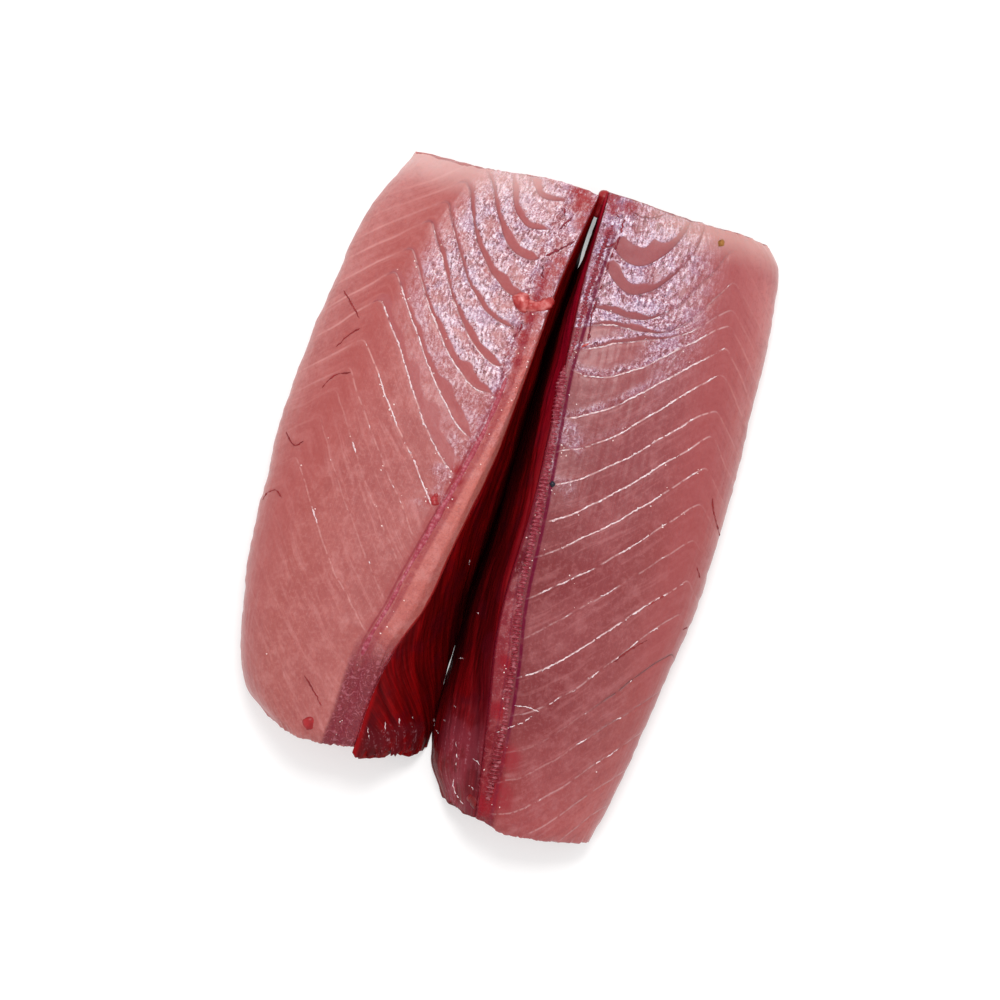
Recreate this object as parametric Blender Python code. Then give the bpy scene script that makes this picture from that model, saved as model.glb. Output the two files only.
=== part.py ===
"""Raw tuna fillet section, skinned side up: two loins parted along the blood line and still lying together.

Each loin is two solids, the pale loin meat and the dark muscle that faces the cut. Built in metres, +Z up,
standing on Z = 0. +Y runs towards the tail end of the fish, and the cut between the loins runs along Y.
"""

import math

import bmesh
import bpy
from mathutils import Vector

MM = 0.001

# Driving sizes, in millimetres.
STATIONS = 34  # cross-sections along a loin
BACK_STEPS = 17  # facets over the back of a loin, from the cut to the outer side
WALL_STEPS = 8  # facets up the cut wall
BELLY_STEPS = 4  # facets under the rounded outer side
PARTING_STEPS = 4  # facets up the buried face between the two kinds of muscle
TISSUE_GAP = 0.4  # clearance between the dark muscle and the pale meat
DARK_TOP = 0.93  # share of the cut wall's height that is dark muscle, with a lip of pale meat above it
LIP_FOOT = 0.955  # where that lip of pale meat begins
DARK_FOOT = 13.0  # dark muscle's width along the underside
SIDE_INSET = 5.0  # how far the rounded outer side tucks in under the loin
END_ROUND = 5.0  # length over which an end's top edge rounds off
END_DROP = 2.2  # how much lower the top is at the very end
BACK_FULLNESS = 2.5  # superellipse exponent of the back's section, 2 is an ellipse
WALL_BELLY = 1.7  # exponent of the cut wall: over 1 it bulges at the foot
FURROW_DEPTH = 0.7  # shallow furrow over the blood vessel beside the cut
FURROW_WIDTH = 2.5
CREASE_ANGLE = 40.0  # degrees; faces that meet at more than this keep a sharp edge
WET_ROUGHNESS = 0.3

# Plan of each loin. Every edge is a smooth curve through a few points, from the head end to the tail end,
# and each end runs from the cut to the outer side. Heights are spread evenly from head end to tail end.
LOINS = {
    "left": {
        "foot": [(-30, -88.6), (-20, -52), (-4.6, -6), (5.6, 28), (17.6, 66), (27.4, 92), (33.4, 108.8)],
        "crest": [(-55.6, -88.8), (-45, -55), (-34, -37), (-10, 12), (3, 43), (17, 78), (32, 108.2)],
        "side": [
            (-89, -77.6),
            (-95.4, -69),
            (-98, -56),
            (-96, -29),
            (-86.8, 14),
            (-78.6, 43),
            (-53, 101.6),
            (-34.6, 125.2),
        ],
        "head_end": [(-55.6, -88.8), (-66, -87.8), (-77, -85), (-89, -77.6)],
        "tail_end": [(32, 108.2), (18, 113.2), (0, 116.4), (-20, 120.4), (-34.6, 125.2)],
        "crest_height": [35, 38, 38, 34, 26],
        "side_height": [6, 7, 7.5, 6.5, 5],
        "furrow": [9.5, 12, 10, 9, 5],
    },
    "right": {
        "foot": [(-25, -108), (-28.8, -94), (-19, -52), (-3.4, -6), (6.7, 28), (19.2, 66), (34.4, 108.8)],
        "crest": [(-11.8, -115), (-7.6, -82), (-3, -42), (9, 0.5), (18.4, 38.5), (26.2, 76), (35.6, 109.2)],
        "side": [
            (29, -125.2),
            (41.5, -101),
            (58, -64),
            (71.8, -29),
            (83, 11),
            (91.8, 45),
            (97, 72),
            (97.8, 83),
            (94.8, 90.4),
        ],
        "head_end": [(-11.8, -115), (-2, -120.6), (13, -123.4), (29, -125.2)],
        "tail_end": [(35.6, 109.2), (51, 103.8), (65, 99), (82, 94.8), (94.8, 90.4)],
        "crest_height": [29, 36, 37, 34, 27],
        "side_height": [6, 7, 7, 6.5, 5.5],
        "furrow": [5, 7.5, 5.5, 6, 5],
    },
}

COLOURS = {
    "pale_meat": (0.46, 0.13, 0.12),
    "dark_muscle": (0.10, 0.004, 0.006),
}


def mix(a, b, share):
    """The point or number that lies that share of the way from a to b."""
    return a + (b - a) * share


def curve_through(points):
    """A function of 0 to 1 that gives the place along a smooth curve through the points, by its length."""
    knots = [Vector(p) for p in points]
    lengths = [0.0]
    for a, b in zip(knots, knots[1:]):
        lengths.append(lengths[-1] + (b - a).length)

    def slope(i, j):
        return (knots[j] - knots[i]) / (lengths[j] - lengths[i])

    def at(share):
        place = min(max(share, 0.0), 1.0) * lengths[-1]
        i = max(k for k in range(len(knots) - 1) if lengths[k] <= place or k == 0)
        span = lengths[i + 1] - lengths[i]
        s = (place - lengths[i]) / span
        leaving = slope(max(i - 1, 0), i + 1) * span
        arriving = slope(i, min(i + 2, len(knots) - 1)) * span
        start = knots[i] * (2 * s**3 - 3 * s**2 + 1) + leaving * (s**3 - 2 * s**2 + s)
        return start + knots[i + 1] * (3 * s**2 - 2 * s**3) + arriving * (s**3 - s**2)

    return at


def height_through(heights):
    """The same for a list of heights, spread evenly."""
    last = len(heights) - 1
    at = curve_through([(k / last, h) for k, h in enumerate(heights)])
    return lambda share: at(share).y


class Loin:
    """One loin's surface. along runs from the head end, 0, to the tail end, 1."""

    def __init__(self, plan):
        self.foot, self.crest, self.side = (curve_through(plan[k]) for k in ("foot", "crest", "side"))
        self.head_end, self.tail_end = (curve_through(plan[k]) for k in ("head_end", "tail_end"))
        self.low_head_end = curve_through([plan["foot"][0], *plan["head_end"]])
        self.low_tail_end = curve_through([plan["foot"][-1], *plan["tail_end"]])
        self.crest_height = height_through(plan["crest_height"])
        self.side_height = height_through(plan["side_height"])
        self.furrow = height_through(plan["furrow"])
        self.length = (self.crest(1) - self.crest(0)).length

    def plan(self, across, along):
        """Plan position on the back: across runs from the crest of the cut, 0, to the outer side, 1."""
        return mix(self.crest(along), self.side(along), across) + self.end_bulge(across, along)

    def end_bulge(self, across, along):
        """How far the curves of the two ends push a section out of its straight line."""
        head = self.head_end(across) - mix(self.crest(0), self.side(0), across)
        tail = self.tail_end(across) - mix(self.crest(1), self.side(1), across)
        return head * (1 - along) + tail * along

    def end_drop(self, along):
        """How far the rounded edge at either end lowers the top."""
        to_end = min(along, 1 - along) * self.length
        return END_DROP * (1 - min(to_end / END_ROUND, 1.0)) ** 2

    def back(self, across, along):
        """A point on the back, a superellipse from level at the crest to upright at the outer side."""
        top, side = self.crest_height(along) - self.end_drop(along), self.side_height(along)
        place = self.plan(across, along)
        height = side + (top - side) * (1 - across**BACK_FULLNESS) ** (1 / BACK_FULLNESS)
        from_furrow = (place - self.plan(0, along)).length - self.furrow(along)
        height -= FURROW_DEPTH * math.exp(-((from_furrow / FURROW_WIDTH) ** 2))
        return Vector((place.x, place.y, height))

    def wall(self, up, along):
        """A point on the cut wall, from the foot, 0, to the crest, 1."""
        top = self.crest_height(along) - self.end_drop(along)
        place = mix(self.foot(along), self.crest(along), up**WALL_BELLY)
        return Vector((place.x, place.y, top * up))

    def low_place(self, share, along):
        """Plan position low in a section: share runs from the cut wall's foot, 0, to the outer side, 1."""
        head = self.low_head_end(share) - mix(self.foot(0), self.side(0), share)
        tail = self.low_tail_end(share) - mix(self.foot(1), self.side(1), share)
        return mix(self.foot(along), self.side(along), share) + head * (1 - along) + tail * along

    def low_width(self, along):
        return (self.side(along) - self.foot(along)).length

    def parting(self, up, along, top, foot_width):
        """The buried face between dark muscle and pale meat, from the underside, 0, to near the crest, 1."""
        low = self.low_place(foot_width / self.low_width(along), along)
        high = self.wall(top, along)
        place = mix(low, high.xy, up)
        return Vector((place.x, place.y, high.z * up))


def back_row(loin, along):
    """Points over the back from the crest, closer together towards the outer side."""
    angles = [math.pi / 2 * k / BACK_STEPS for k in range(BACK_STEPS + 1)]
    return [loin.back(min(math.sin(a) ** (2 / BACK_FULLNESS), 1.0), along) for a in angles]


def under_side(loin, along):
    """Points under the rounded outer side, from below its widest line down to the underside."""
    height = loin.back(1.0, along).z
    points = []
    for k in range(1, BELLY_STEPS + 1):
        angle = math.pi / 2 * k / BELLY_STEPS
        inset = SIDE_INSET * (1 - math.cos(angle)) / loin.low_width(along)
        place = loin.low_place(1 - inset, along)
        points.append(Vector((place.x, place.y, height * (1 - math.sin(angle)))))
    return points


def pale_section(loin, along):
    """Upper chain of the pale meat's section: from its inner foot up the parting, over the back and down."""
    up = [k / PARTING_STEPS for k in range(PARTING_STEPS + 1)]
    parting = [loin.parting(share, along, LIP_FOOT, DARK_FOOT + TISSUE_GAP) for share in up]
    return parting + back_row(loin, along) + under_side(loin, along)


def dark_section(loin, along):
    """Upper chain of the dark muscle's section: from its foot up the cut wall, then down the parting."""
    wall = [loin.wall(DARK_TOP * k / WALL_STEPS, along) for k in range(WALL_STEPS + 1)]
    down = [1 - k / PARTING_STEPS for k in range(1, PARTING_STEPS + 1)]
    return wall + [loin.parting(share, along, DARK_TOP, DARK_FOOT) for share in down]


def underside(loin, along, chain, inner, outer):
    """Points along the underside below a chain, between those two distances from the foot of the cut wall."""
    last = len(chain) - 1
    width = loin.low_width(along)
    shares = [mix(inner, outer, k / last) / width for k in range(1, last)]
    return [loin.low_place(share, along).to_3d() for share in shares]


def lofted(name, sections):
    """A closed mesh over the sections, each the chain over its top and the points between its two feet."""
    bm = bmesh.new()
    rings = []
    for chain, below in sections:
        upper = [bm.verts.new(p * MM) for p in chain]
        lower = [bm.verts.new(p * MM) for p in below]
        rings.append((upper, [upper[0], *lower, upper[-1]]))
    for (upper, lower), (next_upper, next_lower) in zip(rings, rings[1:]):
        for row, next_row in ((upper, next_upper), (lower, next_lower)):
            for k in range(len(row) - 1):
                bm.faces.new((row[k], row[k + 1], next_row[k + 1], next_row[k]))
    for upper, lower in (rings[0], rings[-1]):
        for k in range(len(upper) - 1):
            corners = (upper[k], upper[k + 1], lower[k + 1], lower[k])
            bm.faces.new(list(dict.fromkeys(corners)))
    bmesh.ops.recalc_face_normals(bm, faces=bm.faces)
    mesh = bpy.data.meshes.new(name)
    bm.to_mesh(mesh)
    bm.free()
    return mesh


def flesh_material(name):
    """Moist raw flesh: a dielectric with a wet surface."""
    material = bpy.data.materials.new(name)
    material.use_nodes = True
    shader = material.node_tree.nodes["Principled BSDF"]
    shader.inputs["Base Color"].default_value = (*COLOURS[name], 1.0)
    shader.inputs["Roughness"].default_value = WET_ROUGHNESS
    shader.inputs["Metallic"].default_value = 0.0
    return material


def add_solid(name, sections, material):
    mesh = lofted(name, sections)
    mesh.materials.append(material)
    mesh.shade_smooth()
    mesh.set_sharp_from_angle(angle=math.radians(CREASE_ANGLE))
    solid = bpy.data.objects.new(name, mesh)
    bpy.context.scene.collection.objects.link(solid)


def station_places():
    """Shares of the length, closer together at the two ends, where the top edge rounds off."""
    return [(1 - math.cos(math.pi * k / STATIONS)) / 2 for k in range(STATIONS + 1)]


def main():
    for old in list(bpy.data.objects):
        bpy.data.objects.remove(old)
    pale, dark = flesh_material("pale_meat"), flesh_material("dark_muscle")
    for side, plan in LOINS.items():
        loin = Loin(plan)
        pale_sections, dark_sections = [], []
        for along in station_places():
            inner, outer = DARK_FOOT + TISSUE_GAP, loin.low_width(along) - SIDE_INSET
            chain = pale_section(loin, along)
            pale_sections.append((chain, underside(loin, along, chain, inner, outer)))
            chain = dark_section(loin, along)
            dark_sections.append((chain, underside(loin, along, chain, 0.0, DARK_FOOT)))
        add_solid(f"{side}_loin", pale_sections, pale)
        add_solid(f"{side}_dark_muscle", dark_sections, dark)


main()
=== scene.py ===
import math
import bpy
import numpy as np
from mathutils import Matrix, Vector
from mathutils.bvhtree import BVHTree


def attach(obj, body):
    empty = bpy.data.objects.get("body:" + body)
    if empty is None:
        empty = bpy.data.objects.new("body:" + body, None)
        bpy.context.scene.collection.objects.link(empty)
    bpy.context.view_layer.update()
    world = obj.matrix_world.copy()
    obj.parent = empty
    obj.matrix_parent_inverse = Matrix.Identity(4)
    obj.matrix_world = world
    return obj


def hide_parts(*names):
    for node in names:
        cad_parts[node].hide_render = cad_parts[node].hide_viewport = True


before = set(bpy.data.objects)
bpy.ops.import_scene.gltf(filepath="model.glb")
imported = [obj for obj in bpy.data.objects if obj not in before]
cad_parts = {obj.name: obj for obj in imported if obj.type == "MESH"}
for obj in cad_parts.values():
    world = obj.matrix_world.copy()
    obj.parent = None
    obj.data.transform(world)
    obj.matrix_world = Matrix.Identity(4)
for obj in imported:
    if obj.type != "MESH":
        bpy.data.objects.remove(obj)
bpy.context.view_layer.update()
mm = 0.001
print("frame loaded")


def srgb(hexColour):
    parts = [int(hexColour[i:i + 2], 16) / 255 for i in (1, 3, 5)]
    return [c / 12.92 if c <= 0.04045 else ((c + 0.055) / 1.055) ** 2.4 for c in parts] + [1.0]


def addNode(tree, kind, settings=None, links=None):  # links take a node, for its first output, or a socket
    node = tree.nodes.new(kind)
    for key, value in (settings or {}).items():
        if isinstance(key, int):
            node.inputs[key].default_value = value
        elif key in node.inputs and not hasattr(node, key):
            node.inputs[key].default_value = value
        else:
            setattr(node, key, value)
    for key, source in (links or {}).items():
        tree.links.new(source.outputs[0] if hasattr(source, "outputs") else source, node.inputs[key])
    return node


def product(tree, *factors):  # a factor (value, start, end) is a smooth step; a least and a most may follow
    made = None
    for factor in factors:
        if isinstance(factor, tuple):
            ends = dict(zip(("From Min", "From Max", "To Min", "To Max"), factor[1:]))
            factor = addNode(tree, "ShaderNodeMapRange", {"interpolation_type": "SMOOTHSTEP", **ends},
                             {"Value": factor[0]})
        made = factor if made is None else addNode(tree, "ShaderNodeMath", {"operation": "MULTIPLY"},
                                                   {0: made, 1: factor})
    return made


def weighed(tree, base, *terms):  # a base, and patterns that are each times a weight
    for pattern, weight in terms:
        settings, links = {"operation": "MULTIPLY_ADD", 1: weight}, {0: pattern}
        (settings if isinstance(base, float) else links)[2] = base
        base = addNode(tree, "ShaderNodeMath", settings, links)
    return base


def setTones(node, tones):  # places from 0 to 1 and their hex colours, on a colour ramp
    ramp = node.color_ramp
    while len(ramp.elements) > 1:
        ramp.elements.remove(ramp.elements[-1])
    ramp.elements[0].position, ramp.elements[0].color = tones[0][0], srgb(tones[0][1])
    for place, tone in tones[1:]:
        ramp.elements.new(place).color = srgb(tone)
    return node


def startMaterial(name, channels=()):  # with an empty tree, and a socket for each value stored on the mesh
    material = bpy.data.materials.new(name)
    material.use_nodes = True
    tree = material.node_tree
    tree.nodes.clear()
    read = {key: addNode(tree, "ShaderNodeAttribute", {"attribute_name": key}).outputs["Fac"] for key in channels}
    return material, tree, read


def paint(tree, colour, look, layers):  # each layer: a tone, how strongly it covers, and the factors of its mask
    for tone, amount, *factors in layers:
        settings, links = {"data_type": "RGBA"}, {6: colour}
        if isinstance(tone, str):
            settings[7] = srgb(look[tone])
        else:
            links[7] = tone
        links[0] = addNode(tree, "ShaderNodeMath", {"operation": "MULTIPLY", "use_clamp": True, 1: amount},
                           {0: product(tree, *factors)})
        colour = addNode(tree, "ShaderNodeMix", settings, links).outputs[2]
    return colour


def putInScene(name, data):
    piece = bpy.data.objects.new(name, data)
    bpy.context.scene.collection.objects.link(piece)
    return piece


# The two loins: outlines, heights and muscle layers, in mm.
# A layer is a thin white septum between two muscle segments. Each row holds where it meets the vessel and
# where it turns at the apex line, in mm along the loin, how many mm it sags between them and at what share
# of the way. Then come the widest smooth band above it in mm, the height of its step, how wet the segment
# above it is and from what share of the way (0 is all of it), how white the septum is and how far open.
atVessel, atApex, atSag, atBend, atBand, atStep, atWet, atWetFrom, atWhite, atOpen = range(10)
layersBefore, layersAfter = 6, 4  # how many are added past the head end and the tail end
leftLoin = {
    "foot": [(-30, -88.6), (-20, -52), (-4.6, -6), (5.6, 28), (17.6, 66), (27.4, 92), (33.4, 108.8)],
    "crest": [(-55.6, -88.8), (-44.5, -55), (-33, -37), (-8.2, 12), (5, 43), (18, 78), (32, 108.2)],
    "side": [(-89, -77.6), (-95.4, -69), (-98, -56), (-96, -29), (-86.8, 14), (-78.6, 43), (-53, 101.6),
             (-34.6, 125.2)],
    "headEnd": [(-55.6, -88.8), (-66, -87.8), (-77, -85), (-89, -77.6)],
    "tailEnd": [(32, 108.2), (18, 113.2), (0, 116.4), (-20, 120.4), (-34.6, 125.2)],
    "crestHeight": [35, 38, 38, 34, 26],
    "sideHeight": [6, 7, 7.5, 6.5, 5],
    "vessel": [7.8, 6.8, 8.6, 7.1, 5.5, 6.4, 6.5, 8, 7],  # mm in from the crest of the cut
    "apex": [1.1, 1.05, 1.0, 0.93, 0.82, 0.755, 0.75, 0.70, 0.66],  # share of the width
    "outerSlope": 1.2,
    # how far a band stays wide, the least share of it, and where it is widest, as a share of its bend
    "bandSpread": (0.22, 0.4), "bandMiddle": 0.86,
    # how strong the lines past the apex are, and mm along where they come up
    "outerShare": 1.0, "outerSeen": (70, 165),
    "sideWet": (92, 142, 0.4),  # mm along, and how wet the flesh beside the vessel is between them
    "stripEnd": (154, 170), "vesselEnd": (165, 190),  # mm along where the strip and the vessel fade out
    "layers": [
        (198, 241, 15, 0.40, 3.6, 0.30, 0.9, 0.0, 0.1, 0), (191, 219, 11, 0.25, 4.6, 0.40, 1.0, 0.0, 0.2, 0),
        (175, 210, 10, 0.28, 4.8, 0.50, 1.0, 0.0, 0.3, 0), (162, 201, 9, 0.30, 2.8, 0.48, 1.0, 0.0, 0.4, 0),
        (152, 192, 12, 0.22, 4.8, 0.42, 1.0, 0.0, 0.6, 0), (136, 181, 9, 0.33, 5.0, 0.28, 0.9, 0.0, 0.8, 0),
        (118, 171, 6, 0.33, 6.0, 0.14, 0.4, 0.0, 1.0, 0), (104, 160, 5, 0.33, 8.0, 0.08, 0.1, 0.0, 1.0, 0),
        (88, 145, 0, 0.33, 0.0, 0.06, 0.0, 0.0, 0.9, 0), (76, 134, 0, 0.33, 0.0, 0.05, 0.0, 0.0, 0.5, 0),
        (65, 125, 0, 0.33, 0.0, 0.05, 0.0, 0.0, 0.3, 0), (52, 114, 0, 0.33, 0.0, 0.05, 0.0, 0.0, 0.3, 0),
        (40, 98, 2, 0.33, 0.0, 0.04, 0.0, 0.0, 0.5, 0), (25, 78, 3, 0.33, 0.0, 0.04, 0.0, 0.0, 0.1, 0),
        (9, 61, 0, 0.33, 0.0, 0.04, 0.0, 0.0, 0.05, 0), (-8, 51, 0, 0.33, 0.0, 0.04, 0.0, 0.0, 0.05, 0),
    ],
    "closed": (-8, 196), "sliver": (19, 34),  # mm along: the feet of the walls touch, and where light shows
    # how far up the cut wall the dark muscle ends, from the head end to the tail end
    "lipFoot": [0.985, 0.985, 0.95, 0.855, 0.84, 0.865, 0.86, 0.84, 0.82, 0.84, 0.88] + [0.90] * 6,
    # mm that the head end is torn, and how steeply the dark fibres climb there
    "raggedHead": 6.0, "fibreClimb": 0.9,
    # blood stains: mm along, mm off the vessel, radius in mm
    "stains": [(188, -5.5, 4.5), (184, -4, 5), (179, -3, 5.5), (173, -3, 5), (166, -2, 4), (158, -1, 4),
               (150, -2, 3), (94, 4.7, 3.6), (107, 1.5, 3.2), (103, 0, 3), (96, -1, 2.5), (136, 0.5, 2.5),
               (210, -4, 6), (204, -6, 4), (214, 0, 5)],
    "seed": 3,
}
rightLoin = {
    "foot": [(-25, -108), (-28.8, -94), (-19, -52), (-3.4, -6), (6.7, 28), (19.2, 66), (34.4, 108.8)],
    "crest": [(-11.8, -115), (-7.6, -82), (-3, -42), (9, 0.5), (18.4, 38.5), (26.2, 76), (35.6, 109.2)],
    "side": [(29, -125.2), (41.5, -101), (58, -64), (71.8, -29), (83, 11), (91.8, 45), (97, 72),
             (97.8, 83), (94.8, 90.4)],
    "headEnd": [(-11.8, -115), (-2, -120.6), (13, -123.4), (29, -125.2)],
    "tailEnd": [(35.6, 109.2), (51, 103.8), (65, 99), (82, 94.8), (94.8, 90.4)],
    "crestHeight": [29, 36, 37, 34, 27],
    "sideHeight": [6, 7, 7, 6.5, 5.5],
    "vessel": [2.8, 3.8, 6.9, 5.2, 0.0, 1.5, 3.0, 4.7, 4.8],
    "apex": [1.15, 1.08, 1.0, 0.92, 0.86, 0.82, 0.79, 0.77, 0.72],
    "outerSlope": 1.25,
    "bandSpread": (0.2, 0.15), "bandMiddle": 0.55,
    "outerShare": 0.5, "outerSeen": (110, 190),
    "sideWet": (122, 150, 0.4),
    "stripEnd": (140, 175), "vesselEnd": (200, 225),
    "layers": [
        (229, 262, 14, 0.35, 0.0, 0.20, 1.0, 0.0, 0.0, 0), (211, 258, 19, 0.40, 11.0, 0.45, 1.0, 0.0, 0.0, 0),
        (205, 244, 22, 0.40, 7.0, 0.45, 1.0, 0.0, 0.0, 0), (187, 221, 12, 0.50, 3.6, 0.40, 1.0, 0.0, 0.2, 0),
        (179, 211, 10, 0.60, 2.6, 0.35, 1.0, 0.0, 0.5, 0), (170, 201, 3, 0.70, 2.6, 0.35, 1.0, 0.3, 0.6, 0),
        (166, 195, 8, 0.30, 0.5, 0.25, 0.9, 0.5, 0.9, 0), (146, 187, 3, 0.33, 0.5, 0.18, 0.5, 0.6, 1.0, 0),
        (134, 178, 4, 0.33, 0.3, 0.12, 0.1, 0.6, 1.0, 0), (122.5, 165, 3, 0.33, 0.0, 0.10, 0.0, 0.0, 0.9, 0),
        (109.5, 155, 3, 0.33, 0.0, 0.08, 0.0, 0.0, 1.0, 0), (96.5, 144, 2, 0.33, 0.0, 0.08, 0.0, 0.0, 0.8, 0),
        (81, 131, 1, 0.33, 0.0, 0.08, 0.0, 0.0, 0.8, 0), (66, 118, 0, 0.33, 0.0, 0.07, 0.0, 0.0, 0.5, 0),
        (53, 103, 3, 0.33, 0.0, 0.10, 0.0, 0.0, 1.0, 0), (40, 91, 5, 0.33, 0.0, 0.10, 0.0, 0.0, 0.6, 0.15),
        (26, 75, 4, 0.33, 0.0, 0.10, 0.0, 0.0, 0.2, 0.9), (15, 61, 3, 0.33, 0.0, 0.08, 0.0, 0.0, 0.35, 0.5),
        (4, 47, 5, 0.33, 0.0, 0.06, 0.0, 0.0, 0.5, 0.3),
    ],
    "closed": (20, 208), "sliver": (44, 58),
    "lipFoot": [0.965, 0.965, 0.96, 0.975, 0.985, 0.935, 0.94, 0.95, 0.96],
    "raggedHead": 0.8, "fibreClimb": 0.0,
    "stains": [(228, -4, 5), (224, -1, 4), (226, 4, 4), (215, 0, 3), (200, 0, 2.5), (186, 0, 3),
               (12, 3, 9), (26, 4, 7), (6, -2, 6), (40, -3, 5), (58, -3, 4)],
    "seed": 8,
}
section = {
    "endRound": 5.0, "endDrop": 2.2, "fullness": 2.5, "wallBelly": 1.7, "sideInset": 5.0,
    "darkFoot": 13.0, "furrowDepth": 0.8, "furrowWidth": 2.2,
    "step": 0.6,  # mm between the rows of a mesh
    # points across each face of a loin, from the parting round to the bottom, and up the dark wall
    "partingColumns": 8, "lipColumns": 6, "backColumns": 164, "roundColumns": 10, "bottomColumns": 24,
    "wallColumns": 84,
    "sheet": 242, "capSpace": 104.0,  # mm that the texture square covers, and from one cap to the other on it
    "sharpAngle": 48,  # degrees from which an edge stays sharp
}


def runAlong(points):  # how far along a path each point lies
    return np.concatenate([[0], np.cumsum(np.linalg.norm(np.diff(points, axis=0), axis=1))])


def meanRun(grid, axis):  # the same for the rows (0) or the columns (1) of a grid, on average
    return np.concatenate([[0], np.cumsum(np.linalg.norm(np.diff(grid, axis=axis), axis=2).mean(axis=1 - axis))])


def curveThrough(points):  # a smooth curve, read by the share of its length
    knots = np.array(points, float)
    lengths = runAlong(knots)
    last = len(knots) - 1

    def slope(a, b):
        return (knots[b] - knots[a]) / (lengths[b] - lengths[a])[..., None]

    def at(share):
        place = np.clip(np.asarray(share, float), 0, 1) * lengths[-1]
        i = np.clip(np.searchsorted(lengths, place, side="right") - 1, 0, last - 1)
        span = (lengths[i + 1] - lengths[i])[..., None]
        s = (place - lengths[i])[..., None] / span
        leaving = slope(np.maximum(i - 1, 0), i + 1) * span
        arriving = slope(i, np.minimum(i + 2, last)) * span
        start = knots[i] * (2 * s**3 - 3 * s**2 + 1) + leaving * (s**3 - 2 * s**2 + s)
        return start + knots[i + 1] * (3 * s**2 - 2 * s**3) + arriving * (s**3 - s**2)

    return at


def evenly(values):  # a smooth number through values spread evenly from 0 to 1
    at = curveThrough([(k / (len(values) - 1), value) for k, value in enumerate(values)])
    return lambda share: at(share)[..., 1]


def mix(a, b, share):
    return a + (b - a) * share


def smooth(value, low, high):
    s = np.clip((value - low) / (high - low), 0, 1)
    return s * s * (3 - 2 * s)


def softNoise(x, y, size, seed):  # smooth value noise, -1 to 1
    table = np.random.default_rng(seed).random((64, 64)) * 2 - 1
    x, y = np.asarray(x, float) / size, np.asarray(y, float) / size
    i, j = np.floor(x).astype(int), np.floor(y).astype(int)
    s, t = smooth(x - i, 0, 1), smooth(y - j, 0, 1)
    low = mix(table[i % 64, j % 64], table[(i + 1) % 64, j % 64], s)
    high = mix(table[i % 64, (j + 1) % 64], table[(i + 1) % 64, (j + 1) % 64], s)
    return mix(low, high, t)


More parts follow.
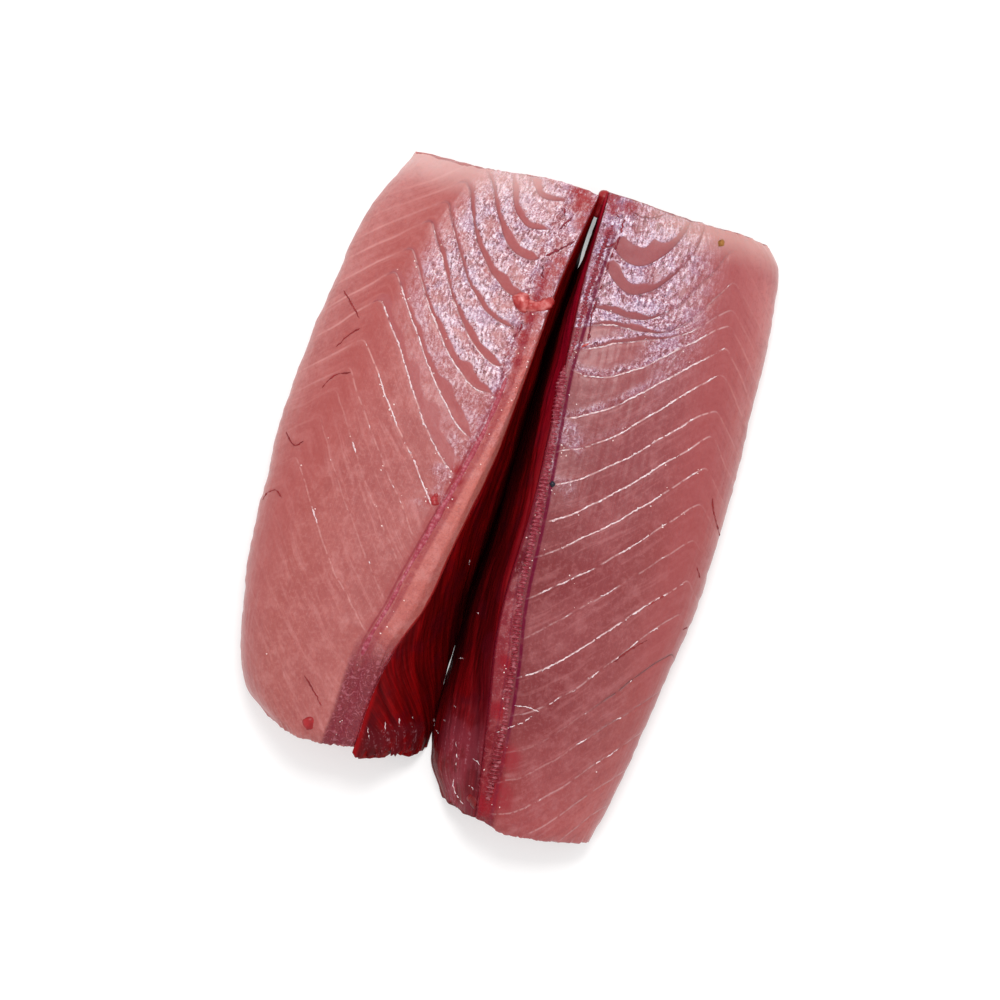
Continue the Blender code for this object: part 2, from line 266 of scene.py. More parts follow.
class Loin:  # along runs from the head end, 0, to the tail end, 1
    def __init__(self, plan):
        self.given = plan
        self.foot, self.crest, self.side = (curveThrough(plan[k]) for k in ("foot", "crest", "side"))
        self.headEnd, self.tailEnd = curveThrough(plan["headEnd"]), curveThrough(plan["tailEnd"])
        self.lowHead = curveThrough([plan["foot"][0], *plan["headEnd"]])
        self.lowTail = curveThrough([plan["foot"][-1], *plan["tailEnd"]])
        self.crestHeight, self.sideHeight = evenly(plan["crestHeight"]), evenly(plan["sideHeight"])
        self.lipFoot = evenly(plan["lipFoot"])
        self.vesselIn, self.apexShare = evenly(plan["vessel"]), evenly(plan["apex"])
        self.length = float(np.linalg.norm(self.crest(1.0) - self.crest(0.0)))

        def moved(row, shift):
            return (row[atVessel] + shift, row[atApex] + shift, *row[2:])

        rows = sorted(plan["layers"])  # they go on past both ends, 13 and 12 mm apart
        before = [moved(rows[0], -13 * k) for k in range(layersBefore, 0, -1)]
        after = [moved(rows[-1], 12 * k) for k in range(1, layersAfter + 1)]
        self.layers = np.array(before + rows + after, float)

    def plan(self, across, along):
        a, t = across[..., None], along[..., None]
        head = self.headEnd(across) - mix(self.crest(0.0), self.side(0.0), a)
        tail = self.tailEnd(across) - mix(self.crest(1.0), self.side(1.0), a)
        return mix(self.crest(along), self.side(along), a) + head * (1 - t) + tail * t

    def top(self, along):
        toEnd = np.minimum(along, 1 - along) * self.length
        drop = section["endDrop"] * (1 - np.minimum(toEnd / section["endRound"], 1)) ** 2
        return self.crestHeight(along) - drop

    def width(self, along):
        return np.linalg.norm(self.side(along) - self.crest(along), axis=-1)

    def lowWidth(self, along):
        return np.linalg.norm(self.side(along) - self.foot(along), axis=-1)

    def vesselShare(self, along):
        return self.vesselIn(along) / self.width(along)

    def back(self, across, along):
        place, full = self.plan(across, along), section["fullness"]
        side = self.sideHeight(along)
        height = side + (self.top(along) - side) * (1 - np.clip(across, 0, 1) ** full) ** (1 / full)
        off = (across - self.vesselShare(along)) * self.width(along)
        height = height - section["furrowDepth"] * np.exp(-((off / section["furrowWidth"]) ** 2))
        return np.concatenate([place, height[..., None]], axis=-1)

    def wall(self, up, along):
        top = self.top(along)
        place = mix(self.foot(along), self.crest(along), up[..., None] ** section["wallBelly"])
        return np.concatenate([place, (top * up)[..., None]], axis=-1)

    def lowPlace(self, share, along, height):
        s, t = share[..., None], along[..., None]
        head = self.lowHead(share) - mix(self.foot(0.0), self.side(0.0), s)
        tail = self.lowTail(share) - mix(self.foot(1.0), self.side(1.0), s)
        place = mix(self.foot(along), self.side(along), s) + head * (1 - t) + tail * t
        return np.concatenate([place, np.broadcast_to(height, share.shape)[..., None]], axis=-1)

    def parting(self, up, along, top, footWidth):  # the buried face between dark muscle and pale meat
        low = self.lowPlace(footWidth / self.lowWidth(along), along, 0.0)
        return mix(low, self.wall(np.full_like(along, top), along), up[..., None])

    def inward(self, across, along):  # 0 on the vessel, 1 on the apex line, 2 on the outer side
        vessel, apex = self.vesselShare(along), self.apexShare(along)
        return np.where(across <= apex, (across - vessel) / (apex - vessel),
                        1 + (across - apex) / np.maximum(1.2 - apex, 0.2))

    def layerPlace(self, layer, inward, beyond):  # mm along the loin where a layer crosses
        u, bend = np.clip(inward, 0, 1), layer[atBend]
        sag = (u / bend) ** (2 * bend / (1 - bend)) * ((1 - u) / (1 - bend)) ** 2
        return mix(layer[atVessel], layer[atApex], u) - layer[atSag] * sag - self.given["outerSlope"] * beyond


def tidyRows(length):
    count = int(round(length / section["step"]))
    return np.linspace(0, 1, count + 1)


def evenColumns(path, count):  # shares of 0 to 1 that lie evenly along a path
    fine = np.linspace(0, 1, 1200)
    run = runAlong(path(fine))
    return np.interp(np.linspace(0, run[-1], count), run, fine)


def surfaceNormals(grid):  # outward, of rows of closed rings
    across = np.roll(grid, -1, axis=1) - np.roll(grid, 1, axis=1)
    along = np.gradient(grid, axis=0)
    normal = np.cross(along, across)
    normal = normal / np.maximum(np.linalg.norm(normal, axis=-1, keepdims=True), 1e-9)
    return -normal if ((grid - grid.mean(axis=(0, 1))) * normal).sum() < 0 else normal


def wander(across, place):  # mm that a layer strays from its plan
    return softNoise(across * 90, place, 9, 5) * 0.7 + softNoise(across * 90, place, 3.1, 6) * 0.2


def layerFields(loin, across, along, grid):  # what the layers give each point of the back, and its height in mm
    place = along * loin.length
    inward = loin.inward(across, along)
    beyond = np.maximum(across - loin.apexShare(along), 0) * loin.width(along)
    crossings = np.stack([loin.layerPlace(layer, inward, beyond) for layer in loin.layers])
    place = place + wander(across, place)
    index = np.clip((crossings <= place).sum(axis=0) - 1, 0, len(loin.layers) - 2)
    low = np.take_along_axis(crossings, index[None], 0)[0]
    high = np.take_along_axis(crossings, index[None] + 1, 0)[0]
    phase = index + np.clip((place - low) / np.maximum(high - low, 1.0), 0, 0.9999)
    for _ in range(10):  # rounds the turn at the apex
        phase[:, 1:-1] = phase[:, 1:-1] * 0.5 + (phase[:, 2:] + phase[:, :-2]) * 0.25
    # how fast the layers follow each other over the curved back, from its first fundamental form
    pa, pt = np.gradient(grid, axis=1), np.gradient(grid, axis=0)
    fa, ft = np.gradient(phase, axis=1), np.gradient(phase, axis=0)
    e, f, g = (pa * pa).sum(-1), (pa * pt).sum(-1), (pt * pt).sum(-1)
    slope = (g * fa**2 - 2 * f * fa * ft + e * ft**2) / np.maximum(e * g - f**2, 1e-9)
    gap = np.clip(1 / np.sqrt(np.maximum(slope, 1e-9)), 3, 22)  # mm from septum to septum
    index = np.clip(np.floor(phase).astype(int), 0, len(loin.layers) - 2)
    share = phase - index
    near = smooth(share, 0.35, 0.65)
    # the smooth bands, the terraces' steps, and the lines past the apex
    spread, least = loin.given["bandSpread"]
    bend = loin.layers[index, atBend] * loin.given["bandMiddle"]
    band = loin.layers[index, atBand] * (least + (1 - least) * np.exp(-(((inward - bend) / spread) ** 2)))
    band = band * smooth(inward, 0.02, 0.12) * (1 - smooth(inward, 0.95, 1.1))
    step = loin.layers[index, atStep] * smooth(inward, 0.0, 0.15) * (1 - 0.88 * smooth(inward, 0.85, 1.1))
    outerWhite = loin.given["outerShare"] * smooth(place, *loin.given["outerSeen"])
    patches = smooth(softNoise(across * 60, place, 13, 15), -0.5, 0.4)
    outerWhite = outerWhite * (1 - smooth(across, 0.9, 1.0)) * (0.35 + 0.65 * patches)
    # the strip, the vessel and the blood stains beside it
    strip = 1 - smooth(place, *loin.given["stripEnd"])
    vesselSeen = 1 - smooth(place, *loin.given["vesselEnd"])
    off, stain = (across - loin.vesselShare(along)) * loin.width(along), 0
    for station, sideways, radius in loin.given["stains"]:
        away = np.hypot(place - station, off - sideways) / radius
        stain = np.maximum(stain, 1 - smooth(away, 0.35, 1.0))
    # how wet each segment is, and the flesh beside the vessel
    band = band * (0.8 + 0.35 * softNoise(across * 90, place, 7, 17))
    above, start = share * gap, loin.layers[index, atWetFrom]
    onset = np.maximum(smooth(inward, start - 0.12, start + 0.08), 0.9 * np.exp(-(((above - 1.6) / 1.4) ** 2)))
    wet = loin.layers[index, atWet] * (1 - smooth(inward, 0.66, 0.98)) * np.where(start > 0, onset, 1.0)
    wetFrom, wetTo, wetShare = loin.given["sideWet"]
    sideWet = smooth(place, wetFrom - 6, wetFrom + 6) * (1 - smooth(place, wetTo - 6, wetTo + 6))
    sideWet = sideWet * (1 - smooth(np.abs(off - 5), 3, 8)) * smooth(softNoise(off, place, 5, 23), -0.5, 0.3)
    wet = np.maximum(wet, wetShare * sideWet)
    # how white and how open the septa are
    white = mix(loin.layers[index, atWhite], loin.layers[index + 1, atWhite], near)
    gape = mix(loin.layers[index, atOpen], loin.layers[index + 1, atOpen], near)
    white = white * smooth(inward, 0.02, 0.1) * (1 - smooth(inward, 0.93, 1.03) * 0.85)
    gape = gape * smooth(inward, 0.45, 0.7) * (1 - smooth(inward, 1.0, 1.15))
    # height in mm: up over a band, then gently down, with a groove along each septum
    rise = np.where(above < band, smooth(above, 0, np.maximum(band, 0.01)) * 2 - 1,
                    1 - 2 * np.clip((above - band) / np.maximum(gap - band, 0.5), 0, 1))
    toLine = np.minimum(share, 1 - share) * gap
    height = step * rise * np.where(band > 0.3, 1.0, 0.5)
    height -= 0.5 * step * np.exp(-((toLine / 0.8) ** 2))
    height -= 0.35 * gape * np.exp(-((toLine / 0.6) ** 2))
    # where beads of lymph stand; their milky white is a painted glint
    beside = np.exp(-((off / 5.0) ** 2))
    middle = smooth(place, 70, 100) * (1 - smooth(place, 170, 200))
    dew = 0.01 + 0.85 * beside * (0.35 + middle) + 1.1 * white * middle * np.exp(-((toLine / 1.1) ** 2))
    dew = dew * smooth(softNoise(across * 90, place, 6, 9), -0.2, 0.6) * (1 - 0.8 * smooth(inward, 0.9, 1.1))
    return dict(phase=phase, gap=gap, band=band, wet=wet, white=white, open=gape, inward=inward,
                dew=dew, outerWhite=outerWhite, strip=strip, vesselSeen=vesselSeen, stain=stain), height


def capRings(loin, grid, row, first, last, seed):  # closes a tube's end with rings that shrink to a centre
    chord = grid[row, last] - grid[row, first]
    outward = np.array([chord[1], -chord[0], 0.0]) / np.linalg.norm(chord[:2])
    travel = loin.crest(1.0) - loin.crest(0.0)
    if (outward[:2] @ travel > 0) == (row == 0):
        outward = -outward
    ring = grid[row]  # the rings swell by half a millimetre, with soft lumps
    middle = ring.mean(axis=0)
    middle[2] = ring[:, 2].max() * 0.45
    shares = np.array([0.992, 0.975, 0.94, 0.88, 0.8, 0.7, 0.6, 0.5, 0.4, 0.3, 0.2, 0.1])
    rings = middle + (ring - middle) * shares[:, None, None]
    bulge = (1 - shares**6)[:, None] * 0.5
    lumps = softNoise(rings[..., 0] + rings[..., 1], rings[..., 2] * 1.4, 5, seed) * 0.5
    lumps += softNoise(rings[..., 0] - rings[..., 1], rings[..., 2] * 1.4, 1.6, seed + 1) * 0.16
    rings = rings + outward * (bulge + lumps * (1 - shares**8)[:, None])[..., None]
    return rings, middle + outward * 0.5


# Closes a grid of rings into a mesh, stores its fields, and lays its texture out flat. The island remaps the
# mm across for the texture.
def tubeMesh(name, grid, caps, fields, capFields, island=None):
    rows, columns = grid.shape[:2]
    points, values = [grid.reshape(-1, 3)], {k: [v.reshape(-1)] for k, v in fields.items()}
    run = meanRun(grid, 1)
    run = np.append(run, run[-1] + np.linalg.norm(grid[:, 0] - grid[:, -1], axis=1).mean())
    run = np.interp(run, *island) if island else run
    climb = meanRun(grid, 0)
    uvs = [np.stack(np.meshgrid(run, climb), axis=-1).reshape(-1, 2)]
    j, k = np.meshgrid(np.arange(rows - 1), np.arange(columns), indexing="ij")
    n = (k + 1) % columns
    quads = np.stack([j * columns + k, j * columns + n, (j + 1) * columns + n, (j + 1) * columns + k], -1)
    wide = columns + 1
    quadUvs = np.stack([j * wide + k, j * wide + k + 1, (j + 1) * wide + k + 1, (j + 1) * wide + k], -1)
    faces, faceUvs = quads.reshape(-1, 4).tolist(), quadUvs.reshape(-1, 4).tolist()
    count, uvCount, x0 = rows * columns, rows * wide, run[-1] + 4
    for number, (rings, centre) in enumerate(caps):
        row = 0 if number == 0 else rows - 1
        base = np.concatenate([rings.reshape(-1, 3), centre[None]])
        points.append(base)
        for key in values:
            values[key].append(capFields[key](base))
        # a cap lies flat on the texture, with its long way upward
        axis = grid[row, :, :2] - centre[:2]
        axis = axis[np.argmax((axis**2).sum(1))]
        axis = axis / np.linalg.norm(axis)
        flat = np.concatenate([grid[row], base])
        flat = np.stack([flat[:, 2], (flat[:, :2] - centre[:2]) @ axis], -1)
        uvs.append(flat - flat.min(axis=0) + [x0, number * section["capSpace"]])
        loops = [(row * columns + np.arange(columns), uvCount + np.arange(columns))]
        for r in range(len(rings)):
            loops.append((count + r * columns + np.arange(columns),
                          uvCount + (r + 1) * columns + np.arange(columns)))
        turn = (lambda q: q) if number else (lambda q: q[::-1])
        around = [(i, (i + 1) % columns) for i in range(columns)]
        for (a, ua), (b, ub) in zip(loops, loops[1:]):
            for i, m in around:
                faces.append(turn([int(a[i]), int(a[m]), int(b[m]), int(b[i])]))
                faceUvs.append(turn([int(ua[i]), int(ua[m]), int(ub[m]), int(ub[i])]))
        a, ua = loops[-1]
        pole, uvPole = count + len(base) - 1, uvCount + columns + len(base) - 1
        for i, m in around:
            faces.append(turn([int(a[i]), int(a[m]), pole]))
            faceUvs.append(turn([int(ua[i]), int(ua[m]), uvPole]))
        count, uvCount = count + len(base), uvCount + columns + len(base)
    points, uvs = np.concatenate(points) * mm, np.concatenate(uvs) * (1 / section["sheet"])
    corners = points[quads.reshape(-1, 4)]  # a negative volume means that the faces look inward
    volume = np.einsum("ij,ij->i", corners[:, 0], np.cross(corners[:, 1], corners[:, 2])).sum()
    if volume < 0:
        faces, faceUvs = [f[::-1] for f in faces], [f[::-1] for f in faceUvs]
    mesh = bpy.data.meshes.new(name)
    mesh.from_pydata(points.tolist(), [], faces)
    layer = mesh.uv_layers.new(name="OFBake")
    order = np.array([i for f in faceUvs for i in f])
    layer.data.foreach_set("uv", np.clip(uvs[order], 0, 1).astype(np.float32).ravel())
    for key, parts in values.items():
        attribute = mesh.attributes.new(key, "FLOAT", "POINT")
        attribute.data.foreach_set("value", np.concatenate(parts).astype(np.float32))
    mesh.shade_smooth()
    mesh.set_sharp_from_angle(angle=math.radians(section["sharpAngle"]))
    return mesh


# Roughens both cut ends: mm for the head and the tail, mm from tooth to tooth, and mm more at the head.
def ragged(loin, grid, columnRun, headTail, size, seed, extra=0.0):
    length = loin.length
    along = np.linspace(0, 1, grid.shape[0])[:, None]
    for end, sign in ((0, -1), (1, 1)):
        direction = (loin.crest(1.0) - loin.crest(0.0)) / length * sign
        near = 1 - smooth(np.abs(along - end) * length, 0, 5)
        wave = softNoise(columnRun, columnRun * 0 + end * 31, size, seed + end)
        wave = wave + 0.5 * softNoise(columnRun, columnRun * 0 + end * 17, size * 0.4, seed + 7 + end)
        push = headTail[end] * wave + (extra if end == 0 else 0.0)
        grid[..., :2] += (near * push[None, :])[..., None] * direction
    return grid


def makePaleLoin(name, loin, material):
    given, along = loin.given, tidyRows(loin.length)
    lipFoot = loin.lipFoot(along)[:, None]
    backShare = evenColumns(lambda s: loin.back(s, np.full_like(s, 0.5)), section["backColumns"])
    t = along[:, None]
    ones = np.ones_like(t)
    width = section["darkFoot"] + 0.4  # clear of the dark muscle
    upShare = np.linspace(0, 1, section["partingColumns"])[None]
    parting = loin.parting(upShare * ones, t * np.ones_like(upShare), lipFoot, width)
    lipUp = mix(lipFoot, 1.0, np.linspace(0, 1, section["lipColumns"] + 2)[1:-1][None])
    lip = loin.wall(lipUp, t * np.ones_like(lipUp))
    a = backShare[None] * ones
    back = loin.back(a, t * np.ones_like(a))
    angles = np.linspace(0, math.pi / 2, section["roundColumns"] + 1)[1:][None]
    inset = section["sideInset"] * (1 - np.cos(angles)) / loin.lowWidth(t)
    rim = loin.back(np.ones_like(t), t)[..., 2]
    under = loin.lowPlace(1 - inset, t * np.ones_like(inset), 0.0)
    under[..., 2] = rim * (1 - np.sin(angles))
    lowWidth = loin.lowWidth(t)
    inner = np.linspace(0, 1, section["bottomColumns"] + 2)[1:-1][None]
    shares = mix(1 - section["sideInset"] / lowWidth, width / lowWidth, inner)
    bottom = loin.lowPlace(shares, t * np.ones_like(shares), 0.0)
    grid = np.concatenate([parting, lip, back, under, bottom], axis=1)
    first = parting.shape[1] + lip.shape[1]
    last = first + back.shape[1]
    for _ in range(3):  # softens the cut edge
        part = grid[:, first - 5:first + 6]
        grid[:, first - 4:first + 5] = part[:, 1:-1] * 0.5 + (part[:, 2:] + part[:, :-2]) * 0.25

    # relief in mm: what the layers give, soft lumps, and fibre
    fields, height = layerFields(loin, a, t * np.ones_like(a), back)
    seed, place = given["seed"], t * loin.length * np.ones_like(a)
    run = np.arange(1.0, section["backColumns"] + 1) * 0.62  # roughly mm across the back
    flowAcross = run[None] * ones
    height += 0.035 * softNoise(flowAcross, place, 2.2, seed) + 0.35 * softNoise(flowAcross, place, 17, seed + 1)
    height += 0.07 * softNoise(flowAcross, place * 0.12, 0.9, seed + 2)  # lengthwise fibre bundles
    edgeFade = smooth(1 - a, 0, 0.05)
    endFade = smooth(np.minimum(place, loin.length - place), -1, 3)
    total = np.zeros(grid.shape[:2])
    total[:, first:last] = height * edgeFade * endFade
    columnRun = meanRun(grid, 1)
    # the outer side is trimmed by hand, in low waves
    outer = np.exp(-(((np.arange(grid.shape[1]) - last) / 16.0) ** 2))[None]
    rows = (along * loin.length)[:, None]
    total += outer * (0.5 * softNoise(rows, columnRun[None] * 0.4, 11, seed + 4)
                      + 0.28 * softNoise(rows, columnRun[None] * 0.4, 2.6, seed + 5))
    total[:, last + 10:] = np.minimum(total[:, last + 10:], 0)
    normals = surfaceNormals(grid)
    grid = grid + normals * total[..., None]
    grid = ragged(loin, grid, columnRun, (0.38, 0.38), 2.4, seed + 11)
    grid[..., 2] = np.maximum(grid[..., 2], 0.0)

    size = grid.shape[:2]

    def spread(array, before, after):
        full = np.empty(size)
        full[:, :first], full[:, last:] = before, after
        full[:, first:last] = array
        return full

    channel = {}  # what the material reads at each point
    for key, array in fields.items():
        if key in ("band", "wet", "white", "open", "dew", "outerWhite", "stain"):  # they stop where the back ends
            channel[key] = spread(array, 0, 0)
        else:
            channel[key] = spread(array, array[:, :1], array[:, -1:])
    vesselOff = (a - loin.vesselShare(t)) * loin.width(t)
    channel["fromVessel"] = spread(vesselOff, -14.0, vesselOff[:, -1:])
    channel["fromCut"], lipStart = np.zeros(size), section["partingColumns"]
    steps = np.linalg.norm(np.diff(grid[:, lipStart - 1:], axis=1), axis=2)
    channel["fromCut"][:, lipStart:] = np.cumsum(steps, axis=1)
    channel["rim"] = spread(a, 0.0, 1.0)
    channel["alongMm"] = np.broadcast_to(rows, size).copy()
    channel["acrossMm"] = np.broadcast_to(columnRun[None], size).copy()
    channel["cut"] = np.zeros(size)
    channel["cut"][:, last + 6:] = channel["cut"][:, :4] = 1  # the underside and the parting
    for end in (0, -1):
        for key in ("white", "open", "band"):
            channel[key][end] = 0
    caps, focus = [], []
    for row in (0, -1):
        caps.append(capRings(loin, grid, row, first, last, seed + 20 + row))
        apex = mix(grid[row, first], grid[row, last], 0.62)
        focus.append(np.array([apex[0], apex[1], grid[row, :, 2].max() * 0.42]))

    def capPhase(points):  # rings of growth round a focus, as on a cut end
        away = points - min(focus, key=lambda spot: np.linalg.norm(points[-1] - spot))
        flat = np.linalg.norm(away[:, :2], axis=1)
        return np.sqrt((flat * 0.62) ** 2 + (away[:, 2] * 1.5) ** 2) / 6.2 + 0.35

    def steady(value):  # the same over a whole cap
        return lambda points: np.full(len(points), float(value))

    capFields = {k: steady(0) for k in channel}
    capFields.update(phase=capPhase, gap=steady(7.5), white=steady(0.42), inward=steady(0.6),
                     fromVessel=steady(30), fromCut=steady(30), rim=steady(0.5), cut=steady(1),
                     alongMm=steady(80), acrossMm=lambda p: p[:, 2] * 2.0)
    backFrom, backTo = columnRun[first], columnRun[last]
    total = columnRun[-1] + 1
    newFrom, newTo = backFrom * 0.5, backTo - backFrom * 0.5  # all but the back at half its size
    island = ([0, backFrom, backTo, total], [0, newFrom, newTo, newTo + (total - backTo) * 0.5])
    mesh = tubeMesh(name, grid, caps, channel, capFields, island)
    mesh.materials.append(material)
    return putInScene(name, mesh)


def makeDarkMuscle(name, loin, other, material):
    given, along, columns = loin.given, tidyRows(loin.length), section["wallColumns"]
    t, darkTop = along[:, None], loin.lipFoot(along)[:, None] + 0.012
    up = evenColumns(lambda s: loin.wall(s * 0.93, np.full_like(s, 0.5)), columns)
    up = up[None] * darkTop
    wall = loin.wall(up, t * np.ones_like(up))
    down = np.linspace(1, 0, 9)[1:][None] * np.ones_like(t)
    parting = loin.parting(down, t * np.ones_like(down), darkTop - 0.02, section["darkFoot"] + 1.0)
    lowWidth = loin.lowWidth(t)
    shares = np.linspace(section["darkFoot"] + 1.0, 0, 10)[1:-1][None] / lowWidth
    bottom = loin.lowPlace(shares, t * np.ones_like(shares), 0.0)
    grid = np.concatenate([wall, parting, bottom], axis=1)
    seed = given["seed"] + 30
    columnRun = meanRun(grid, 1)
    rows = (along * loin.length)[:, None]
    s, v = columnRun[None, :columns] * np.ones_like(rows), rows * np.ones((1, columns))
    reach = 85  # mm over which the fibres climb from the rim, towards the head end
    climb = given["fibreClimb"] * reach * (np.exp(-rows / reach) - 1)
    lean = s + 0.16 * v + climb  # relief in mm: ridges of fibre, then soft lumps
    relief = 0.75 * (np.abs(softNoise(lean, v * 0.04, 4.6, seed)) - 0.4)
    relief += 0.24 * (np.abs(softNoise(lean, v * 0.05, 1.9, seed + 1)) - 0.4)
    folds = relief.copy()
    relief += 0.5 * softNoise(s, v, 14, seed + 2) + 0.10 * softNoise(s, v, 1.6, seed + 3)
    relief *= smooth(up, 0.0, 0.06) * (1 - smooth(up, darkTop - 0.05, darkTop))
    relief -= 0.2 * smooth(up, darkTop - 0.02, darkTop)
    closed, sliver = given["closed"], given["sliver"]  # the two feet press together, but for the sliver
    meets = smooth(v, closed[0] - 4, closed[0] + 4) * (1 - smooth(v, closed[1] - 8, closed[1]))
    light = smooth(v, sliver[0], sliver[0] + 4) * (1 - smooth(v, sliver[1] - 4, sliver[1]))
    # the foot of the wall leans over to the nearest point of the other loin's foot
    mine, theirs = loin.foot(along), other.foot(np.linspace(0, 1, 900))
    far = np.linalg.norm(mine[:, None] - theirs[None], axis=2)
    towards = theirs[far.argmin(axis=1)] - mine
    towards = towards / np.linalg.norm(towards, axis=1)[:, None]
    push = (np.clip(far.min(axis=1)[:, None] / 2 + 0.06, 0, 2.4) * meets * (1 - 0.42 * light)
            - 0.5 * smooth(v, closed[1] - 8, closed[1] + 6)) * np.exp(-((up / 0.16) ** 2))
    normals = surfaceNormals(grid)
    grid[:, :columns] += normals[:, :columns] * relief[..., None]
    grid[:, :columns, :2] += towards[:, None] * push[..., None]
    ease = np.linspace(0, 1, grid.shape[1] - columns)[None, :, None] ** 6
    grid[:, columns:, :2] += towards[:, None] * push[:, :1, None] * ease
    torn = given["raggedHead"] * 0.5
    grid = ragged(loin, grid, columnRun, (torn, 0.3), 1.4, seed + 5, torn)
    grid[..., 2] = np.maximum(grid[..., 2], 0.0)
    size = grid.shape[:2]
    channel = {"up": np.zeros(size), "groove": np.zeros(size), "cut": np.zeros(size),
               "alongMm": np.broadcast_to(rows, size).copy(),
               "acrossMm": np.broadcast_to(columnRun[None] + climb, size).copy()}
    channel["up"][:, :columns], channel["groove"][:, :columns] = up, folds
    caps = [capRings(loin, grid, row, 0, columns + 6, seed + 9 + row) for row in (0, -1)]
    capFields = {k: (lambda points: np.zeros(len(points))) for k in channel}
    capFields["cut"] = lambda points: np.ones(len(points))
    capFields["up"] = lambda points: points[:, 2] / 38  # mm, the top of the wall
    capFields["acrossMm"] = lambda points: points[:, 2] + 4 * softNoise(points[:, 0], points[:, 2], 9, seed)
    capFields["alongMm"] = lambda points: 14 * (points[:, 0] + points[:, 1])
    mesh = tubeMesh(name, grid, caps, channel, capFields)
    mesh.materials.append(material)
    return putInScene(name, mesh)
